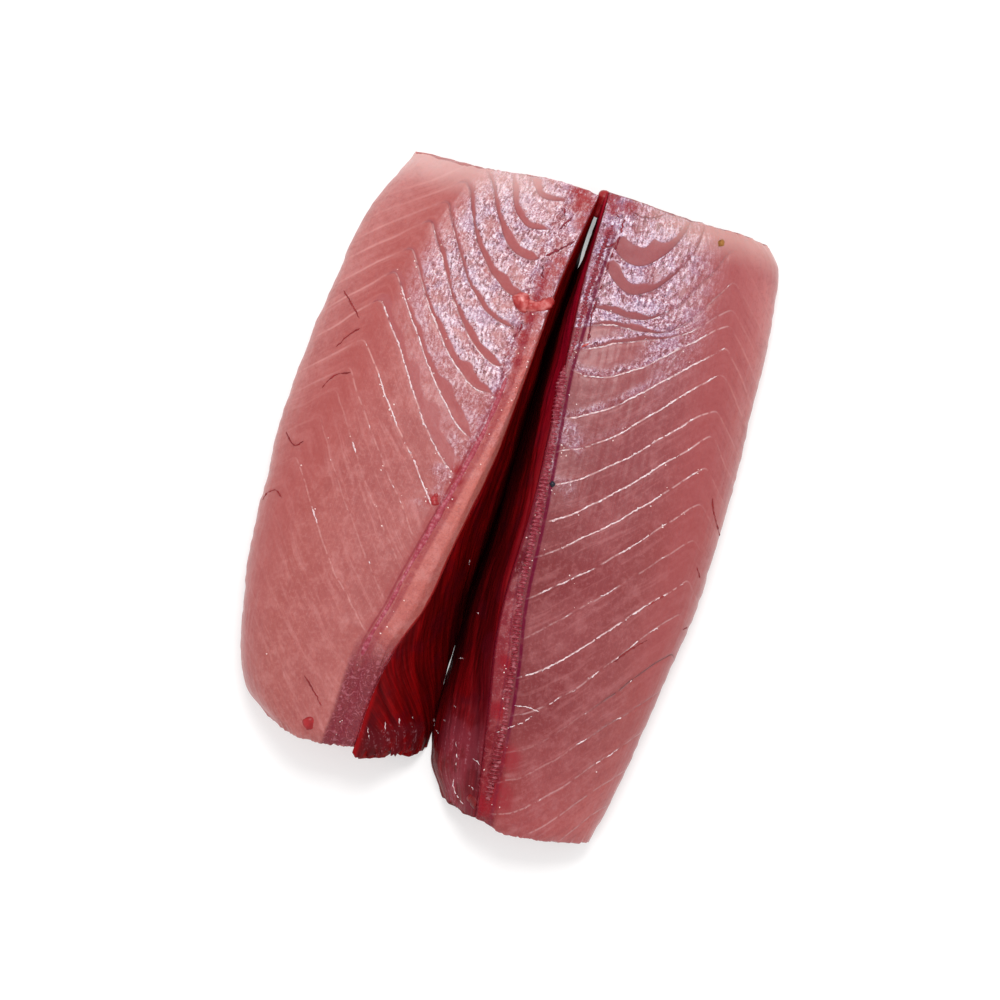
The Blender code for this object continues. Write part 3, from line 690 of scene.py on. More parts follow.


# Skinned raw tuna: pink translucent muscle, wet on top, in segments parted by thin white collagen sheets.
# It gives the eye soft mottled colour, fine fibre, white hairlines and a crisp wet glint, part of it painted into
# the colour as pale glints and sheen.
def fleshMaterial(name, look):
    material, tree, read = startMaterial(name, (
        "phase", "gap", "band", "wet", "white", "open", "inward", "fromVessel", "fromCut", "rim", "alongMm",
        "acrossMm", "cut", "outerWhite", "strip", "vesselSeen", "stain"))
    band, inward, rim, outerWhite = read["band"], read["inward"], read["rim"], read["outerWhite"]
    fromVessel, alongMm = read["fromVessel"], read["alongMm"]
    coordinate = addNode(tree, "ShaderNodeTexCoord").outputs["Object"]
    flow = addNode(tree, "ShaderNodeCombineXYZ", {}, {0: read["acrossMm"], 1: alongMm})
    layered = addNode(tree, "ShaderNodeCombineXYZ", {}, {0: read["phase"], 1: inward})
    fibreFlow, streakFlow, strokeFlow = (
        addNode(tree, "ShaderNodeMapping", {"Scale": scale}, {"Vector": source})
        for source, scale in ((flow, (2.2, 0.16, 1.0)), (layered, (5.0, 3.2, 1.0)), (layered, (6.0, 52.0, 1.0))))
    # each pattern: what it follows, then its scale, detail, roughness and distortion
    ripple, clouds, blotches, speckle, worms, creases, fibre, streaks, strokes, breaks = (
        addNode(tree, "ShaderNodeTexNoise", {"Scale": scale, "Detail": detail, "Roughness": rough,
                                             "Distortion": bent}, {"Vector": source})
        for source, scale, detail, rough, bent in (
            (coordinate, 260.0, 2.0, 0.5, 0.0), (coordinate, 26.0, 3.0, 0.5, 0.0),  # 4 mm and 40 mm
            (coordinate, 165.0, 4.0, 0.6, 0.0), (coordinate, 760.0, 3.0, 0.7, 0.0),  # 6 mm and 1.3 mm
            (coordinate, 1050.0, 1.5, 0.5, 1.2), (coordinate, 380.0, 2.0, 0.6, 2.2),
            (fibreFlow, 1.0, 3.0, 0.65, 0.0),  # along the loin
            (streakFlow, 1.0, 4.0, 0.62, 0.3), (strokeFlow, 1.0, 2.0, 0.5, 0.5),  # along and across the layers
            (flow, 0.35, 2.0, 0.5, 0.0)))
    net = weighed(tree, 0.0, (worms, 0.5), (strokes, 0.5))
    uncut = weighed(tree, 1.0, (read["cut"], -1.0))

    # where each point stands between two septa, and how wet it is: the terraced faces, less the smooth bands
    share = addNode(tree, "ShaderNodeMath", {"operation": "FRACT"}, {0: read["phase"]})
    nearest = addNode(tree, "ShaderNodeMath", {"operation": "PINGPONG", 1: 0.5}, {0: read["phase"]})
    above, toLine = product(tree, share, read["gap"]), product(tree, nearest, read["gap"])
    bandEdge = weighed(tree, -0.6, (band, 1.0), (ripple, 1.2), (above, -1.0))
    onBand = product(tree, (bandEdge, -0.3, 0.6), (band, 0.2, 1.0))
    wetFace = product(tree, read["wet"], weighed(tree, 1.0, (onBand, -1.0)), (blotches, 0.30, 0.52, 0.25),
                      (inward, *look["wetReach"]))

    # the strip from the vessel to the cut, the cut's own edge and the bruised strip at the head end
    strip = product(tree, (fromVessel, 0.2, -1.6), read["strip"])
    wetShare = product(tree, wetFace, weighed(tree, 1.0, (strip, -0.85)))
    fromBand = weighed(tree, 0.0, (above, 1.0), (band, -1.0))
    edgeWander = weighed(tree, 0.0, (read["fromCut"], 1.0), (blotches, -look["cutWander"]))
    headStrip = product(tree, (alongMm, 46, 24), (fromVessel, 4.6, 2.8), uncut)
    crease = weighed(tree, -0.5, (creases, 1.0))
    crease = addNode(tree, "ShaderNodeMath", {"operation": "ABSOLUTE"}, {0: crease})
    openLine = product(tree, (toLine, 0.5, 0.12), read["open"], (breaks, 0.36, 0.5))

    # colour, from the vessel out to the side, and what is painted over it
    lengthwise = addNode(tree, "ShaderNodeMapRange", {"From Max": look["length"]}, {"Value": alongMm})
    acrossTone, alongTone, stripTone, wetGlintTone = (
        setTones(addNode(tree, "ShaderNodeValToRGB", {}, {"Fac": source}), look[tones])
        for source, tones in ((rim, "across"), (lengthwise, "along"), (lengthwise, "strip"), (net, "wetGlintTones")))
    number = addNode(tree, "ShaderNodeMath", {"operation": "FLOOR"}, {0: read["phase"]})
    segment = addNode(tree, "ShaderNodeTexWhiteNoise", {"noise_dimensions": "1D"}, {"W": number})
    ground = addNode(tree, "ShaderNodeMix", {"data_type": "RGBA", 0: 0.5}, {6: acrossTone, 7: alongTone})
    layers = [("cloud", 0.30, (clouds, 0.50, 0.66)), ("deep", 0.30, (clouds, 0.50, 0.34)), ("deep", 0.12, segment)]
    for pattern, spread, paler, deeper in ((blotches, 0.16, 0.26, 0.20), (streaks, 0.18, 0.34, 0.26),
                                           (fibre, 0.20, 0.14, 0.16), (speckle, 0.18, 0.24, 0.24)):
        layers += [("pale", paler, (pattern, 0.5, 0.5 + spread)), ("deep", deeper, (pattern, 0.5, 0.5 - spread))]
    layers += [
        ("apex", look["apexShare"], (inward, 0.66, 0.95), (inward, 1.5, 1.02)),
        ("rim", 0.5, (toLine, 0.65, 0.1), (inward, 1.02, 1.2), outerWhite),
        ("pale", 0.12, (toLine, 3.0, 0.3), outerWhite),
        ("band", 0.55, onBand), ("netLine", 0.5, (toLine, 0.7, 0.1), (band, 0.3, 1.2)),
        ("vesselSide", look["sideShare"], (fromVessel, 5.5, 0.8)),
        (stripTone, 0.88, strip), ("pale", 0.4, strip, (blotches, 0.46, 0.62)),
        ("stripSpeck", 0.3, strip, (speckle, 0.54, 0.70)), ("netLine", 0.22, strip, (worms, 0.5, 0.36)),
        # painted highlight: the net of wet glints laid over a pale film, and a painted sheen in patches
        (wetGlintTone, look["film"], wetShare), ("sheen", 0.32, wetShare, (blotches, 0.48, 0.62)),
        # painted highlight: a bright wet edge just above each smooth band
        ("ridge", 0.4, wetShare, (fromBand, 4.5, 0.5), (band, 0.4, 2.0), (net, 0.4, 0.5)),
        ("cutEdge", 0.9, (edgeWander, look["cutWidth"], look["cutWidth"] * 0.25), uncut),
        ("headStrip", look["headShare"], headStrip), ("wrinkle", 0.5, headStrip, (creases, 0.52, 0.66)),
        # painted shade: dark lines along the creases of the head strip
        ("crease", look["creaseShare"], headStrip, (crease, 0.05, 0.0)),
        ("stain", 0.9, read["stain"], (speckle, 0.32, 0.52, 0.4)),
        # painted light: a paler band along the tail end, as light shows through its thin edge
        ("tailRim", look["tailShare"], (alongMm, look["length"] - 15, look["length"] - 1), (rim, 0.1, 0.4)),
        ("cutEdge", look["membraneShare"], (fromVessel, -look["paleStrip"], -look["paleStrip"] - 1.5),
         read["strip"], uncut)]
    matt = [weighed(tree, 0.0, (strip, look["stripDull"])), weighed(tree, 0.0, (headStrip, 0.6))]
    for middle, width, amount in look["bloodLines"]:  # mm from the vessel, half width in mm
        off = weighed(tree, -middle, (fromVessel, 1.0))
        away = addNode(tree, "ShaderNodeMath", {"operation": "ABSOLUTE"}, {0: off})
        line = product(tree, (away, width, width * 0.3), (breaks, 0.3, 0.5, 0.6), read["vesselSeen"],
                       weighed(tree, 1.0, (headStrip, -0.6)))
        layers.append(("bloodLine", amount, line))
        matt.append(weighed(tree, 0.0, (line, amount)))
    # the open septa: their own red, deepened with painted shade in the gap; the white hairlines: the septa's own
    # white with a painted glint
    layers += [("gape", 0.9, openLine),
               ("septum", 0.45, (toLine, 0.45, 0.12), read["white"], (breaks, 0.36, 0.56))]
    colour = paint(tree, ground.outputs[2], look, layers)
    dull = matt[0]
    for other in matt[1:]:
        dull = addNode(tree, "ShaderNodeMath", {"operation": "MAXIMUM"}, {0: dull, 1: other})

    # relief, in mm
    relief = weighed(
        tree, 0.0, (fibre, 0.05), (product(tree, net, wetFace), look["netHeight"]), (speckle, 0.06),
        (blotches, 0.12), (product(tree, worms, strip), 0.25), (product(tree, blotches, headStrip), 0.7),
        (product(tree, creases, headStrip), 0.5), (openLine, -0.15))
    bump = addNode(tree, "ShaderNodeBump", {"Strength": 1.0, "Distance": mm}, {"Height": relief})
    roughness = addNode(tree, "ShaderNodeMapRange", {"To Min": look["roughness"], "To Max": 0.22},
                        {"Value": wetFace})
    shader = addNode(tree, "ShaderNodeBsdfPrincipled",
                     {"IOR": 1.38, "Subsurface Weight": 0.3, "Subsurface Radius": (1.0, 0.32, 0.22),
                      "Subsurface Scale": 0.002, "Coat Roughness": 0.16, "Coat IOR": 1.33},
                     {"Base Color": colour, "Roughness": roughness, "Normal": bump,
                      "Specular IOR Level": product(tree, (dull, 0.0, 1.0, 0.5, 0.1)),
                      "Coat Weight": product(tree, (dull, 0.0, 0.8, 0.2, 0.0))})
    addNode(tree, "ShaderNodeOutputMaterial", {}, {"Surface": shader})
    return material


warmLook = {
    "length": 215.6,  # mm
    # tones from the cut to the side, along the loin, and along the strip between the vessel and the cut. The side
    # end of the first is paler: the flesh's own tone there, plus painted light through the thin outer edge.
    "across": [(0, "#9C4847"), (0.15, "#9C4C4B"), (0.45, "#A0514F"), (0.75, "#A35550"), (0.93, "#B1716F"),
               (1.0, "#BD837E")],
    "along": [(0, "#A25C57"), (0.3, "#994C48"), (0.6, "#A14F4C"), (0.85, "#AB5D5B"), (1.0, "#BF8888")],
    "strip": [(0, "#7E3038"), (0.12, "#8A3A3E"), (0.2, "#AC5A54"), (0.5, "#BA675E"), (0.7, "#B4564E"),
              (1.0, "#AC4C48")],
    "cloud": "#AE6561", "deep": "#8C3A39", "pale": "#BE7C79", "rim": "#C88C88", "band": "#9A4C50",
    "netLine": "#6E2030", "stripSpeck": "#C87E74", "stripDull": 0.3,
    "apex": "#983C3A", "apexShare": 0.5, "vesselSide": "#90323A", "sideShare": 0.3,
    # the net of wet glints painted into the colour over a pale film, from its dark gaps to its brightest threads;
    # the ridge and sheen tones are painted highlights too
    "wetGlintTones": [(0.39, "#54202C"), (0.455, "#8C5460"), (0.515, "#B28896"), (0.575, "#D8BECC"),
                 (0.635, "#F6EAF4")],
    "ridge": "#D2BECB", "sheen": "#A890AE", "film": 0.85, "netHeight": 0.5, "roughness": 0.40,
    "wetReach": (1.1, 0.9),
    "cutEdge": "#96060A", "cutWidth": 0.6, "cutWander": 2.2, "paleStrip": 20.0, "membraneShare": 0.0,
    # the crease tone here is painted shade in the head strip's creases
    "headStrip": "#742630", "headShare": 0.85, "wrinkle": "#B06A76", "crease": "#5E1428", "creaseShare": 0.6,
    # the pale tail end tone below is painted light through the thin edge
    "tailRim": "#D6B2AE", "tailShare": 0.55, "septum": "#E2B4B0", "gape": "#640A10", "stain": "#901014",
    "bloodLine": "#7E142C", "bloodLines": [(-2.2, 1.8, 0.5), (1.5, 0.6, 0.5)],
}
coolLook = {
    "length": 229.2,
    # the paler side end of these tones is the flesh's own tone plus painted light through the thin outer edge
    "across": [(0, "#66181C"), (0.15, "#6C181C"), (0.4, "#802C30"), (0.7, "#964C4A"), (0.9, "#B96C66"),
               (1.0, "#CC8A82")],
    "along": [(0, "#A83C38"), (0.2, "#6E1418"), (0.5, "#782428"), (0.8, "#9C585C"), (1.0, "#B67478")],
    "strip": [(0, "#740C14"), (0.12, "#741820"), (0.2, "#882E34"), (0.34, "#862C36"), (0.39, "#5C0812"),
              (0.53, "#5C0812"), (0.59, "#8E3C46"), (0.8, "#8A404C"), (1.0, "#B27480")],
    "cloud": "#9E5658", "deep": "#7B2C32", "pale": "#AA686A", "rim": "#BC7B73", "band": "#924C50",
    "netLine": "#641C30", "stripSpeck": "#C89AA0", "stripDull": 0.75,
    "apex": "#943A3C", "apexShare": 0.55, "vesselSide": "#6A1A28", "sideShare": 0.45,
    # the same net of wet glints painted over a pale film; the ridge and sheen tones are painted highlights too
    "wetGlintTones": [(0.39, "#4C1A2A"), (0.455, "#824858"), (0.515, "#A87A8E"), (0.575, "#D2B6C8"),
                 (0.635, "#F4E8F4")],
    "ridge": "#CEB8CA", "sheen": "#A08CAE", "film": 0.85, "netHeight": 0.5, "roughness": 0.40,
    "wetReach": (0.92, 0.42, 0.3),
    "cutEdge": "#66061A", "cutWidth": 1.2, "cutWander": 1.5, "paleStrip": 3.0, "membraneShare": 0.25,
    # the crease tone here is painted shade in the head strip's creases
    "headStrip": "#7A141E", "headShare": 0.5, "wrinkle": "#96484E", "crease": "#5A0E18", "creaseShare": 0.5,
    # the pale tail end tone below is painted light through the thin edge
    "tailRim": "#CCA39C", "tailShare": 0.55, "septum": "#E4C0C0", "gape": "#5A0A12", "stain": "#8A1420",
    "bloodLine": "#62082A", "bloodLines": [(2.3, 1.0, 0.9), (-2.3, 0.6, 0.4)],
}


# Raw dark muscle along the blood line: soaked in myoglobin, coarse wet fibre. Painted shade makes it nearly black
# in its folds and at the foot of the wall, and painted light brightens it near the tail end.
def darkMaterial(name, look):
    material, tree, read = startMaterial(name, ("up", "groove", "cut", "alongMm", "acrossMm"))
    up, alongMm, uncut = read["up"], read["alongMm"], weighed(tree, 1.0, (read["cut"], -1.0))
    coordinate = addNode(tree, "ShaderNodeTexCoord").outputs["Object"]
    flow = addNode(tree, "ShaderNodeCombineXYZ", {}, {0: read["acrossMm"], 1: alongMm})
    stretch = addNode(tree, "ShaderNodeMapping", {"Rotation": (0, 0, 0.16), "Scale": (1.1, 0.04, 1.0)},
                      {"Vector": flow})
    fibre = addNode(tree, "ShaderNodeTexNoise", {"Scale": 1.0, "Detail": 4.0, "Roughness": 0.62},
                    {"Vector": stretch})
    mottle = addNode(tree, "ShaderNodeTexNoise", {"Scale": 120.0, "Detail": 3.0}, {"Vector": coordinate})
    grain = addNode(tree, "ShaderNodeTexNoise", {"Scale": 700.0, "Detail": 2.0, "Distortion": 1.2},
                    {"Vector": coordinate})
    tone = setTones(addNode(tree, "ShaderNodeValToRGB", {}, {"Fac": fibre}), look["fibre"])
    film = product(tree, (alongMm, look["filmReach"], look["filmReach"] * 0.55),
                   (up, look["filmFoot"], look["filmFoot"] + 0.3), (mottle, 0.36, 0.56, 0.35), uncut)
    colour = paint(tree, tone, look, (
        # painted shade: near black in the grooves of the fibre relief
        ("deep", 0.6, (read["groove"], 0.05, -0.34)), ("bruise", look["bruiseShare"], (mottle, 0.48, 0.64)),
        # painted shade: darker towards the foot of the wall, below lightFrom
        ("deep", look["footShade"], (up, look["lightFrom"], 0.08), (alongMm, 12, 66), uncut),
        # painted light: a brighter red high on the wall near the tail end, where light reaches it
        ("tail", 0.85, (alongMm, look["tailLightFrom"], 206), (up, 0.45, 0.85), uncut),
        # a wet membrane at the head end, with painted glints on it
        ("film", 0.8, film), ("filmGlint", 0.55, film, (fibre, 0.5, 0.64), (grain, 0.5, 0.62)),
        ("top", 0.6, (up, 0.80, 0.9), (alongMm, 70, 100)),
        ("bruise", look["headBruise"], (up, 0.7, 0.9), (alongMm, 80, 40)),
        ("rim", look["headRim"], (up, 0.93, 0.97), (alongMm, 90, 60), uncut)))
    relief = weighed(tree, 0.0, (fibre, 0.16), (grain, 0.06), (product(tree, film, mottle), 0.35))  # mm
    bump = addNode(tree, "ShaderNodeBump", {"Strength": 1.0, "Distance": mm}, {"Height": relief})
    shader = addNode(tree, "ShaderNodeBsdfPrincipled",
                     {"IOR": 1.36, "Roughness": 0.42, "Specular IOR Level": look["gloss"]},
                     {"Base Color": colour, "Normal": bump})
    addNode(tree, "ShaderNodeOutputMaterial", {}, {"Surface": shader})
    return material


leftDarkLook = {
    "fibre": [(0, "#380002"), (0.42, "#620204"), (0.6, "#820508"), (1.0, "#960C12")],
    # deep is the painted shade in the fibre grooves and at the foot of the wall; filmGlint holds painted glints on
    # the membrane
    "deep": "#080001", "film": "#5A1018", "filmReach": 9.0, "filmFoot": 0.1, "filmGlint": "#B08088",
    # lightFrom sets where the painted shade at the foot begins, the share after it how strong it is; tail is
    # painted light towards the tail end, from the mm given after it
    "top": "#8A0608", "gloss": 0.10, "lightFrom": 0.5, "footShade": 0.95, "tail": "#A00408", "tailLightFrom": 176,
    "bruise": "#4A0410", "bruiseShare": 0.4, "headBruise": 0.15, "rim": "#96040A", "headRim": 0.6,
}
rightDarkLook = {
    "fibre": [(0, "#340003"), (0.42, "#560206"), (0.6, "#76060C"), (1.0, "#8C1420")],
    # deep is the painted shade in the fibre grooves and at the foot of the wall; filmGlint holds painted glints on
    # the membrane
    "deep": "#0A0002", "film": "#86303C", "filmReach": 42.0, "filmFoot": 0.25, "filmGlint": "#B47480",
    # lightFrom sets where the painted shade at the foot begins, the share after it how strong it is; tail is
    # painted light towards the tail end, from the mm given after it
    "top": "#7A0A16", "gloss": 0.14, "lightFrom": 0.8, "footShade": 0.85, "tail": "#A4082A", "tailLightFrom": 120,
    "bruise": "#480612", "bruiseShare": 0.5, "headBruise": 0.45, "rim": "#7A1020", "headRim": 0.3,
}

left, right = Loin(leftLoin), Loin(rightLoin)
warmFlesh = fleshMaterial("rawTunaLoinWarm", warmLook)
coolFlesh = fleshMaterial("rawTunaLoinCool", coolLook)
print("materials made")
leftPale = makePaleLoin("left_loin_flesh", left, warmFlesh)
rightPale = makePaleLoin("right_loin_flesh", right, coolFlesh)
print("pale loins made")
leftMuscle = darkMaterial("rawDarkMuscleLeft", leftDarkLook)
rightMuscle = darkMaterial("rawDarkMuscleRight", rightDarkLook)
leftDark = makeDarkMuscle("left_dark_muscle_flesh", left, right, leftMuscle)
rightDark = makeDarkMuscle("right_dark_muscle_flesh", right, left, rightMuscle)
print("dark muscle made")


# Thin details follow the surface: their paths are laid on the flesh from straight above it.
def layOn(surfaces, path, sink):
    laid = []
    for point in path:
        x, y = point[:2]
        if len(point) == 3:  # its height is given
            laid.append(Vector(point) * mm)
            continue
        high = Vector((x * mm, y * mm, 0.2))
        hits = [tree.ray_cast(high, Vector((0, 0, -1))) for tree in surfaces]
        hits = [hit for hit in hits if hit[0] is not None]
        best = max(hits, key=lambda hit: hit[0].z) if hits else None
        laid.append(best[0] - best[1] * sink * mm if best else None)
    return laid


def pathMesh(name, surfaces, paths, sink):  # a path is its points in plan and a number for how white it is
    points, edges, whites = [], [], []
    for path, white in paths:
        before = None
        for place, strength in zip(layOn(surfaces, path, sink), np.broadcast_to(white, len(path))):
            if place is not None:
                points.append(place)
                whites.append(strength)
                if before is not None:
                    edges.append((before, len(points) - 1))
            before = len(points) - 1 if place is not None else None
    mesh = bpy.data.meshes.new(name)
    mesh.from_pydata(points, edges, [])
    mesh.attributes.new("white", "FLOAT", "POINT").data.foreach_set("value", np.array(whites, np.float32))
    return mesh


def finer(points, step=0.5):  # a smooth path through points, with a point every step mm
    return curveThrough(points)(np.linspace(0, 1, max(int(runAlong(points)[-1] / step), 3)))


def layerPath(loin, layer):  # where a septum meets the back, from the vessel to the apex line
    u = np.linspace(0.03, 0.99, 160)
    place = loin.layerPlace(layer, u, 0)
    for _ in range(8):
        along = np.clip(place / loin.length, 0, 1)
        across = mix(loin.vesselShare(along), loin.apexShare(along), u)
        place = loin.layerPlace(layer, u, 0) - wander(across, place)
    keep = (place > 1.5) & (place < loin.length - 1.5) & (across < 0.985)
    return loin.plan(across, np.clip(place / loin.length, 0, 1))[keep]


def besideVessel(loin, offset, start, end):  # a path that many mm from the vessel's own line
    along = np.linspace(start, end, 420)
    off = offset + 0.25 * softNoise(along * loin.length, along * 0, 6, 61) if offset else 0
    return loin.plan(loin.vesselShare(along) + off / loin.width(along), along)


def startTree(name, inputs):  # with its named inputs
    tree = bpy.data.node_groups.new(name, "GeometryNodeTree")
    tree.is_modifier = True
    tree.interface.new_socket("Geometry", in_out="INPUT", socket_type="NodeSocketGeometry")
    for label, kind in inputs.items():
        tree.interface.new_socket(label, in_out="INPUT", socket_type="NodeSocket" + kind)
    tree.interface.new_socket("Geometry", in_out="OUTPUT", socket_type="NodeSocketGeometry")
    return tree, addNode(tree, "NodeGroupInput").outputs


def endTree(tree, geometry, given):
    realized = addNode(tree, "GeometryNodeRealizeInstances", {}, {0: geometry})
    smoothed = addNode(tree, "GeometryNodeSetShadeSmooth", {}, {0: realized})
    painted = addNode(tree, "GeometryNodeSetMaterial", {}, {"Geometry": smoothed, "Material": given["Material"]})
    addNode(tree, "NodeGroupOutput", {}, {0: painted})
    return tree


def toEnd(tree):  # metres to the nearer end of a curve
    along = addNode(tree, "GeometryNodeSplineParameter").outputs["Length"]
    total = addNode(tree, "GeometryNodeSplineLength")
    rest = addNode(tree, "ShaderNodeMath", {"operation": "SUBTRACT"}, {0: total, 1: along})
    return addNode(tree, "ShaderNodeMath", {"operation": "MINIMUM"}, {0: rest, 1: along})


def threadTree():  # a thread that breaks where it isn't white, beads, and tapers at each end
    tree, given = startTree("septumThread", {
        "Thickness": "Float", "Break": "Float", "Bead": "Float", "Wander": "Float", "Seed": "Float",
        "Sides": "Int", "Material": "Material"})
    position = addNode(tree, "GeometryNodeInputPosition")
    breakScale = addNode(tree, "ShaderNodeMath", {"operation": "DIVIDE", 0: 1.0}, {1: given["Break"]})
    breaks = addNode(tree, "ShaderNodeTexNoise", {"noise_dimensions": "4D", "Detail": 2.0},
                     {"Vector": position, "Scale": breakScale, "W": given["Seed"]})
    white = addNode(tree, "GeometryNodeInputNamedAttribute", {"data_type": "FLOAT", "Name": "white"})
    limit = addNode(tree, "ShaderNodeMapRange", {"To Min": 0.70, "To Max": 0.40}, {"Value": white})
    gone = addNode(tree, "FunctionNodeCompare", {"data_type": "FLOAT", "operation": "LESS_THAN"},
                   {0: breaks, 1: limit})
    kept = addNode(tree, "GeometryNodeDeleteGeometry", {"domain": "POINT"}, {0: given["Geometry"], 1: gone})
    curve = addNode(tree, "GeometryNodeMeshToCurve", {}, {0: kept})
    curve = addNode(tree, "GeometryNodeResampleCurve", {"mode": "LENGTH", "Length": 0.0004}, {0: curve})
    shake = addNode(tree, "ShaderNodeTexNoise", {"Scale": 900.0}, {"Vector": position})
    shake = addNode(tree, "ShaderNodeVectorMath", {"operation": "SUBTRACT", 1: (0.5, 0.5, 0.5)},
                    {0: shake.outputs["Color"]})
    shake = addNode(tree, "ShaderNodeVectorMath", {"operation": "SCALE"},
                    {0: shake, "Scale": given["Wander"]})
    curve = addNode(tree, "GeometryNodeSetPosition", {}, {0: curve, "Offset": shake})
    taper = addNode(tree, "ShaderNodeMapRange", {"interpolation_type": "SMOOTHERSTEP", "From Min": -0.0008,
                                                 "From Max": 0.0016}, {"Value": toEnd(tree)})
    beadScale = addNode(tree, "ShaderNodeMath", {"operation": "DIVIDE", 0: 1.0}, {1: given["Bead"]})
    beads = addNode(tree, "ShaderNodeTexNoise", {"Detail": 1.0}, {"Vector": position, "Scale": beadScale})
    beads = addNode(tree, "ShaderNodeMapRange", {"From Min": 0.3, "From Max": 0.7, "To Min": 0.35, "To Max": 1.3},
                    {"Value": beads})
    thick = product(tree, beads, taper, given["Thickness"])
    ring = addNode(tree, "GeometryNodeCurvePrimitiveCircle", {"Radius": 1.0}, {"Resolution": given["Sides"]})
    tube = addNode(tree, "GeometryNodeCurveToMesh", {"Fill Caps": True}, {0: curve, 1: ring, "Scale": thick})
    return endTree(tree, tube, given)


def cordTree():  # a cord with ribs across it
    tree, given = startTree("ribbedCord", {
        "Radius": "Float", "Pitch": "Float", "Rib": "Float", "Material": "Material"})
    curve = addNode(tree, "GeometryNodeMeshToCurve", {}, {0: given["Geometry"]})
    curve = addNode(tree, "GeometryNodeResampleCurve", {"mode": "LENGTH", "Length": 0.0003}, {0: curve})
    position = addNode(tree, "GeometryNodeInputPosition")
    taper = addNode(tree, "ShaderNodeMapRange", {"From Max": 0.006, "To Min": 0.2}, {"Value": toEnd(tree)})
    along = addNode(tree, "GeometryNodeSplineParameter").outputs["Length"]
    turns = addNode(tree, "ShaderNodeMath", {"operation": "DIVIDE"}, {0: along, 1: given["Pitch"]})
    uneven = addNode(tree, "ShaderNodeTexNoise", {"Scale": 210.0}, {"Vector": position})
    angle = weighed(tree, 0.0, (weighed(tree, turns, (uneven, 0.9)), 6.2832))  # radians
    wave = addNode(tree, "ShaderNodeMath", {"operation": "SINE"}, {0: angle})
    wave = addNode(tree, "ShaderNodeMath", {"operation": "MULTIPLY_ADD", 2: 1.0}, {0: wave, 1: given["Rib"]})
    swell = addNode(tree, "ShaderNodeTexNoise", {"Scale": 70.0, "Detail": 1.0}, {"Vector": position})
    swell = addNode(tree, "ShaderNodeMapRange", {"From Min": 0.3, "From Max": 0.7, "To Min": 0.75, "To Max": 1.2},
                    {"Value": swell})
    thick = product(tree, wave, swell, taper, given["Radius"])
    ring = addNode(tree, "GeometryNodeCurvePrimitiveCircle", {"Resolution": 12, "Radius": 1.0})
    tube = addNode(tree, "GeometryNodeCurveToMesh", {"Fill Caps": True}, {0: curve, 1: ring, "Scale": thick})
    return endTree(tree, tube, given)


def dewTree():  # small wet beads, where the surface's dew says
    tree, given = startTree("wetBeads", {
        "Density": "Float", "Size": "Float", "Seed": "Int", "Material": "Material"})
    dew = addNode(tree, "GeometryNodeInputNamedAttribute", {"data_type": "FLOAT", "Name": "dew"})
    spread = addNode(tree, "GeometryNodeDistributePointsOnFaces", {},
                     {"Mesh": given["Geometry"], "Density": product(tree, dew, given["Density"]),
                      "Seed": given["Seed"]})
    bead = addNode(tree, "GeometryNodeMeshIcoSphere", {"Radius": 1.0, "Subdivisions": 2})
    size = addNode(tree, "FunctionNodeRandomValue", {"data_type": "FLOAT", 2: 0.45, 3: 1.25},
                   {"Seed": given["Seed"]})
    size = product(tree, size.outputs[1], given["Size"])
    flat = addNode(tree, "ShaderNodeVectorMath", {"operation": "SCALE", 0: (1.0, 1.3, 0.5)}, {"Scale": size})
    placed = addNode(tree, "GeometryNodeInstanceOnPoints", {},
                     {"Points": spread, "Instance": bead, "Rotation": spread.outputs["Rotation"], "Scale": flat})
    return endTree(tree, placed, given)


def grow(name, tree, mesh, settings, material):  # runs a tree and keeps its result as a plain mesh
    source = putInScene(name + "_path", mesh)
    modifier = source.modifiers.new("grow", "NODES")
    modifier.node_group = tree
    for socket in tree.interface.items_tree:
        if socket.in_out == "INPUT" and socket.name in settings:
            modifier[socket.identifier] = settings[socket.name]
        elif socket.in_out == "INPUT" and socket.name == "Material":
            modifier[socket.identifier] = material
    graph = bpy.context.evaluated_depsgraph_get()
    made = bpy.data.meshes.new_from_object(source.evaluated_get(graph))
    made.name = name
    for extra in [a.name for a in made.attributes if a.name in ("white", "dew")]:
        made.attributes.remove(made.attributes[extra])
    bpy.data.objects.remove(source)
    piece = putInScene(name, made)
    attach(piece, "root")
    return piece


# Small wet tissues: one plain recipe of a mottled tone, a thin gloss and a little light passing through.
def tissueMaterial(name, look):
    material, tree, read = startMaterial(name)
    coordinate = addNode(tree, "ShaderNodeTexCoord").outputs["Object"]
    mottle = addNode(tree, "ShaderNodeTexNoise", {"Scale": look["mottle"], "Detail": 3.0}, {"Vector": coordinate})
    tone = setTones(addNode(tree, "ShaderNodeValToRGB", {}, {"Fac": mottle}), look["tones"])
    colour = tone.outputs[0]
    if "lengthwise" in look:  # the tone drifts from the head end to the tail end
        place = addNode(tree, "ShaderNodeSeparateXYZ", {}, {0: coordinate})
        share = addNode(tree, "ShaderNodeMapRange", {"From Min": -0.12, "From Max": 0.12},
                        {"Value": place.outputs["Y"]})
        drift = setTones(addNode(tree, "ShaderNodeValToRGB", {}, {"Fac": share}), look["lengthwise"])
        colour = addNode(tree, "ShaderNodeMix", {"data_type": "RGBA", 0: 0.65}, {6: tone, 7: drift}).outputs[2]
    fine = addNode(tree, "ShaderNodeTexNoise", {"Scale": 1500.0, "Detail": 2.0}, {"Vector": coordinate})
    bump = addNode(tree, "ShaderNodeBump", {"Strength": look["bump"], "Distance": 0.0001}, {"Height": fine})
    shader = addNode(tree, "ShaderNodeBsdfPrincipled",
                     {"IOR": 1.38, "Roughness": look["roughness"], "Subsurface Weight": look["through"],
                      "Subsurface Radius": (1.0, 0.35, 0.3), "Subsurface Scale": 0.001},
                     {"Base Color": colour, "Normal": bump})
    addNode(tree, "ShaderNodeOutputMaterial", {}, {"Surface": shader})
    return material


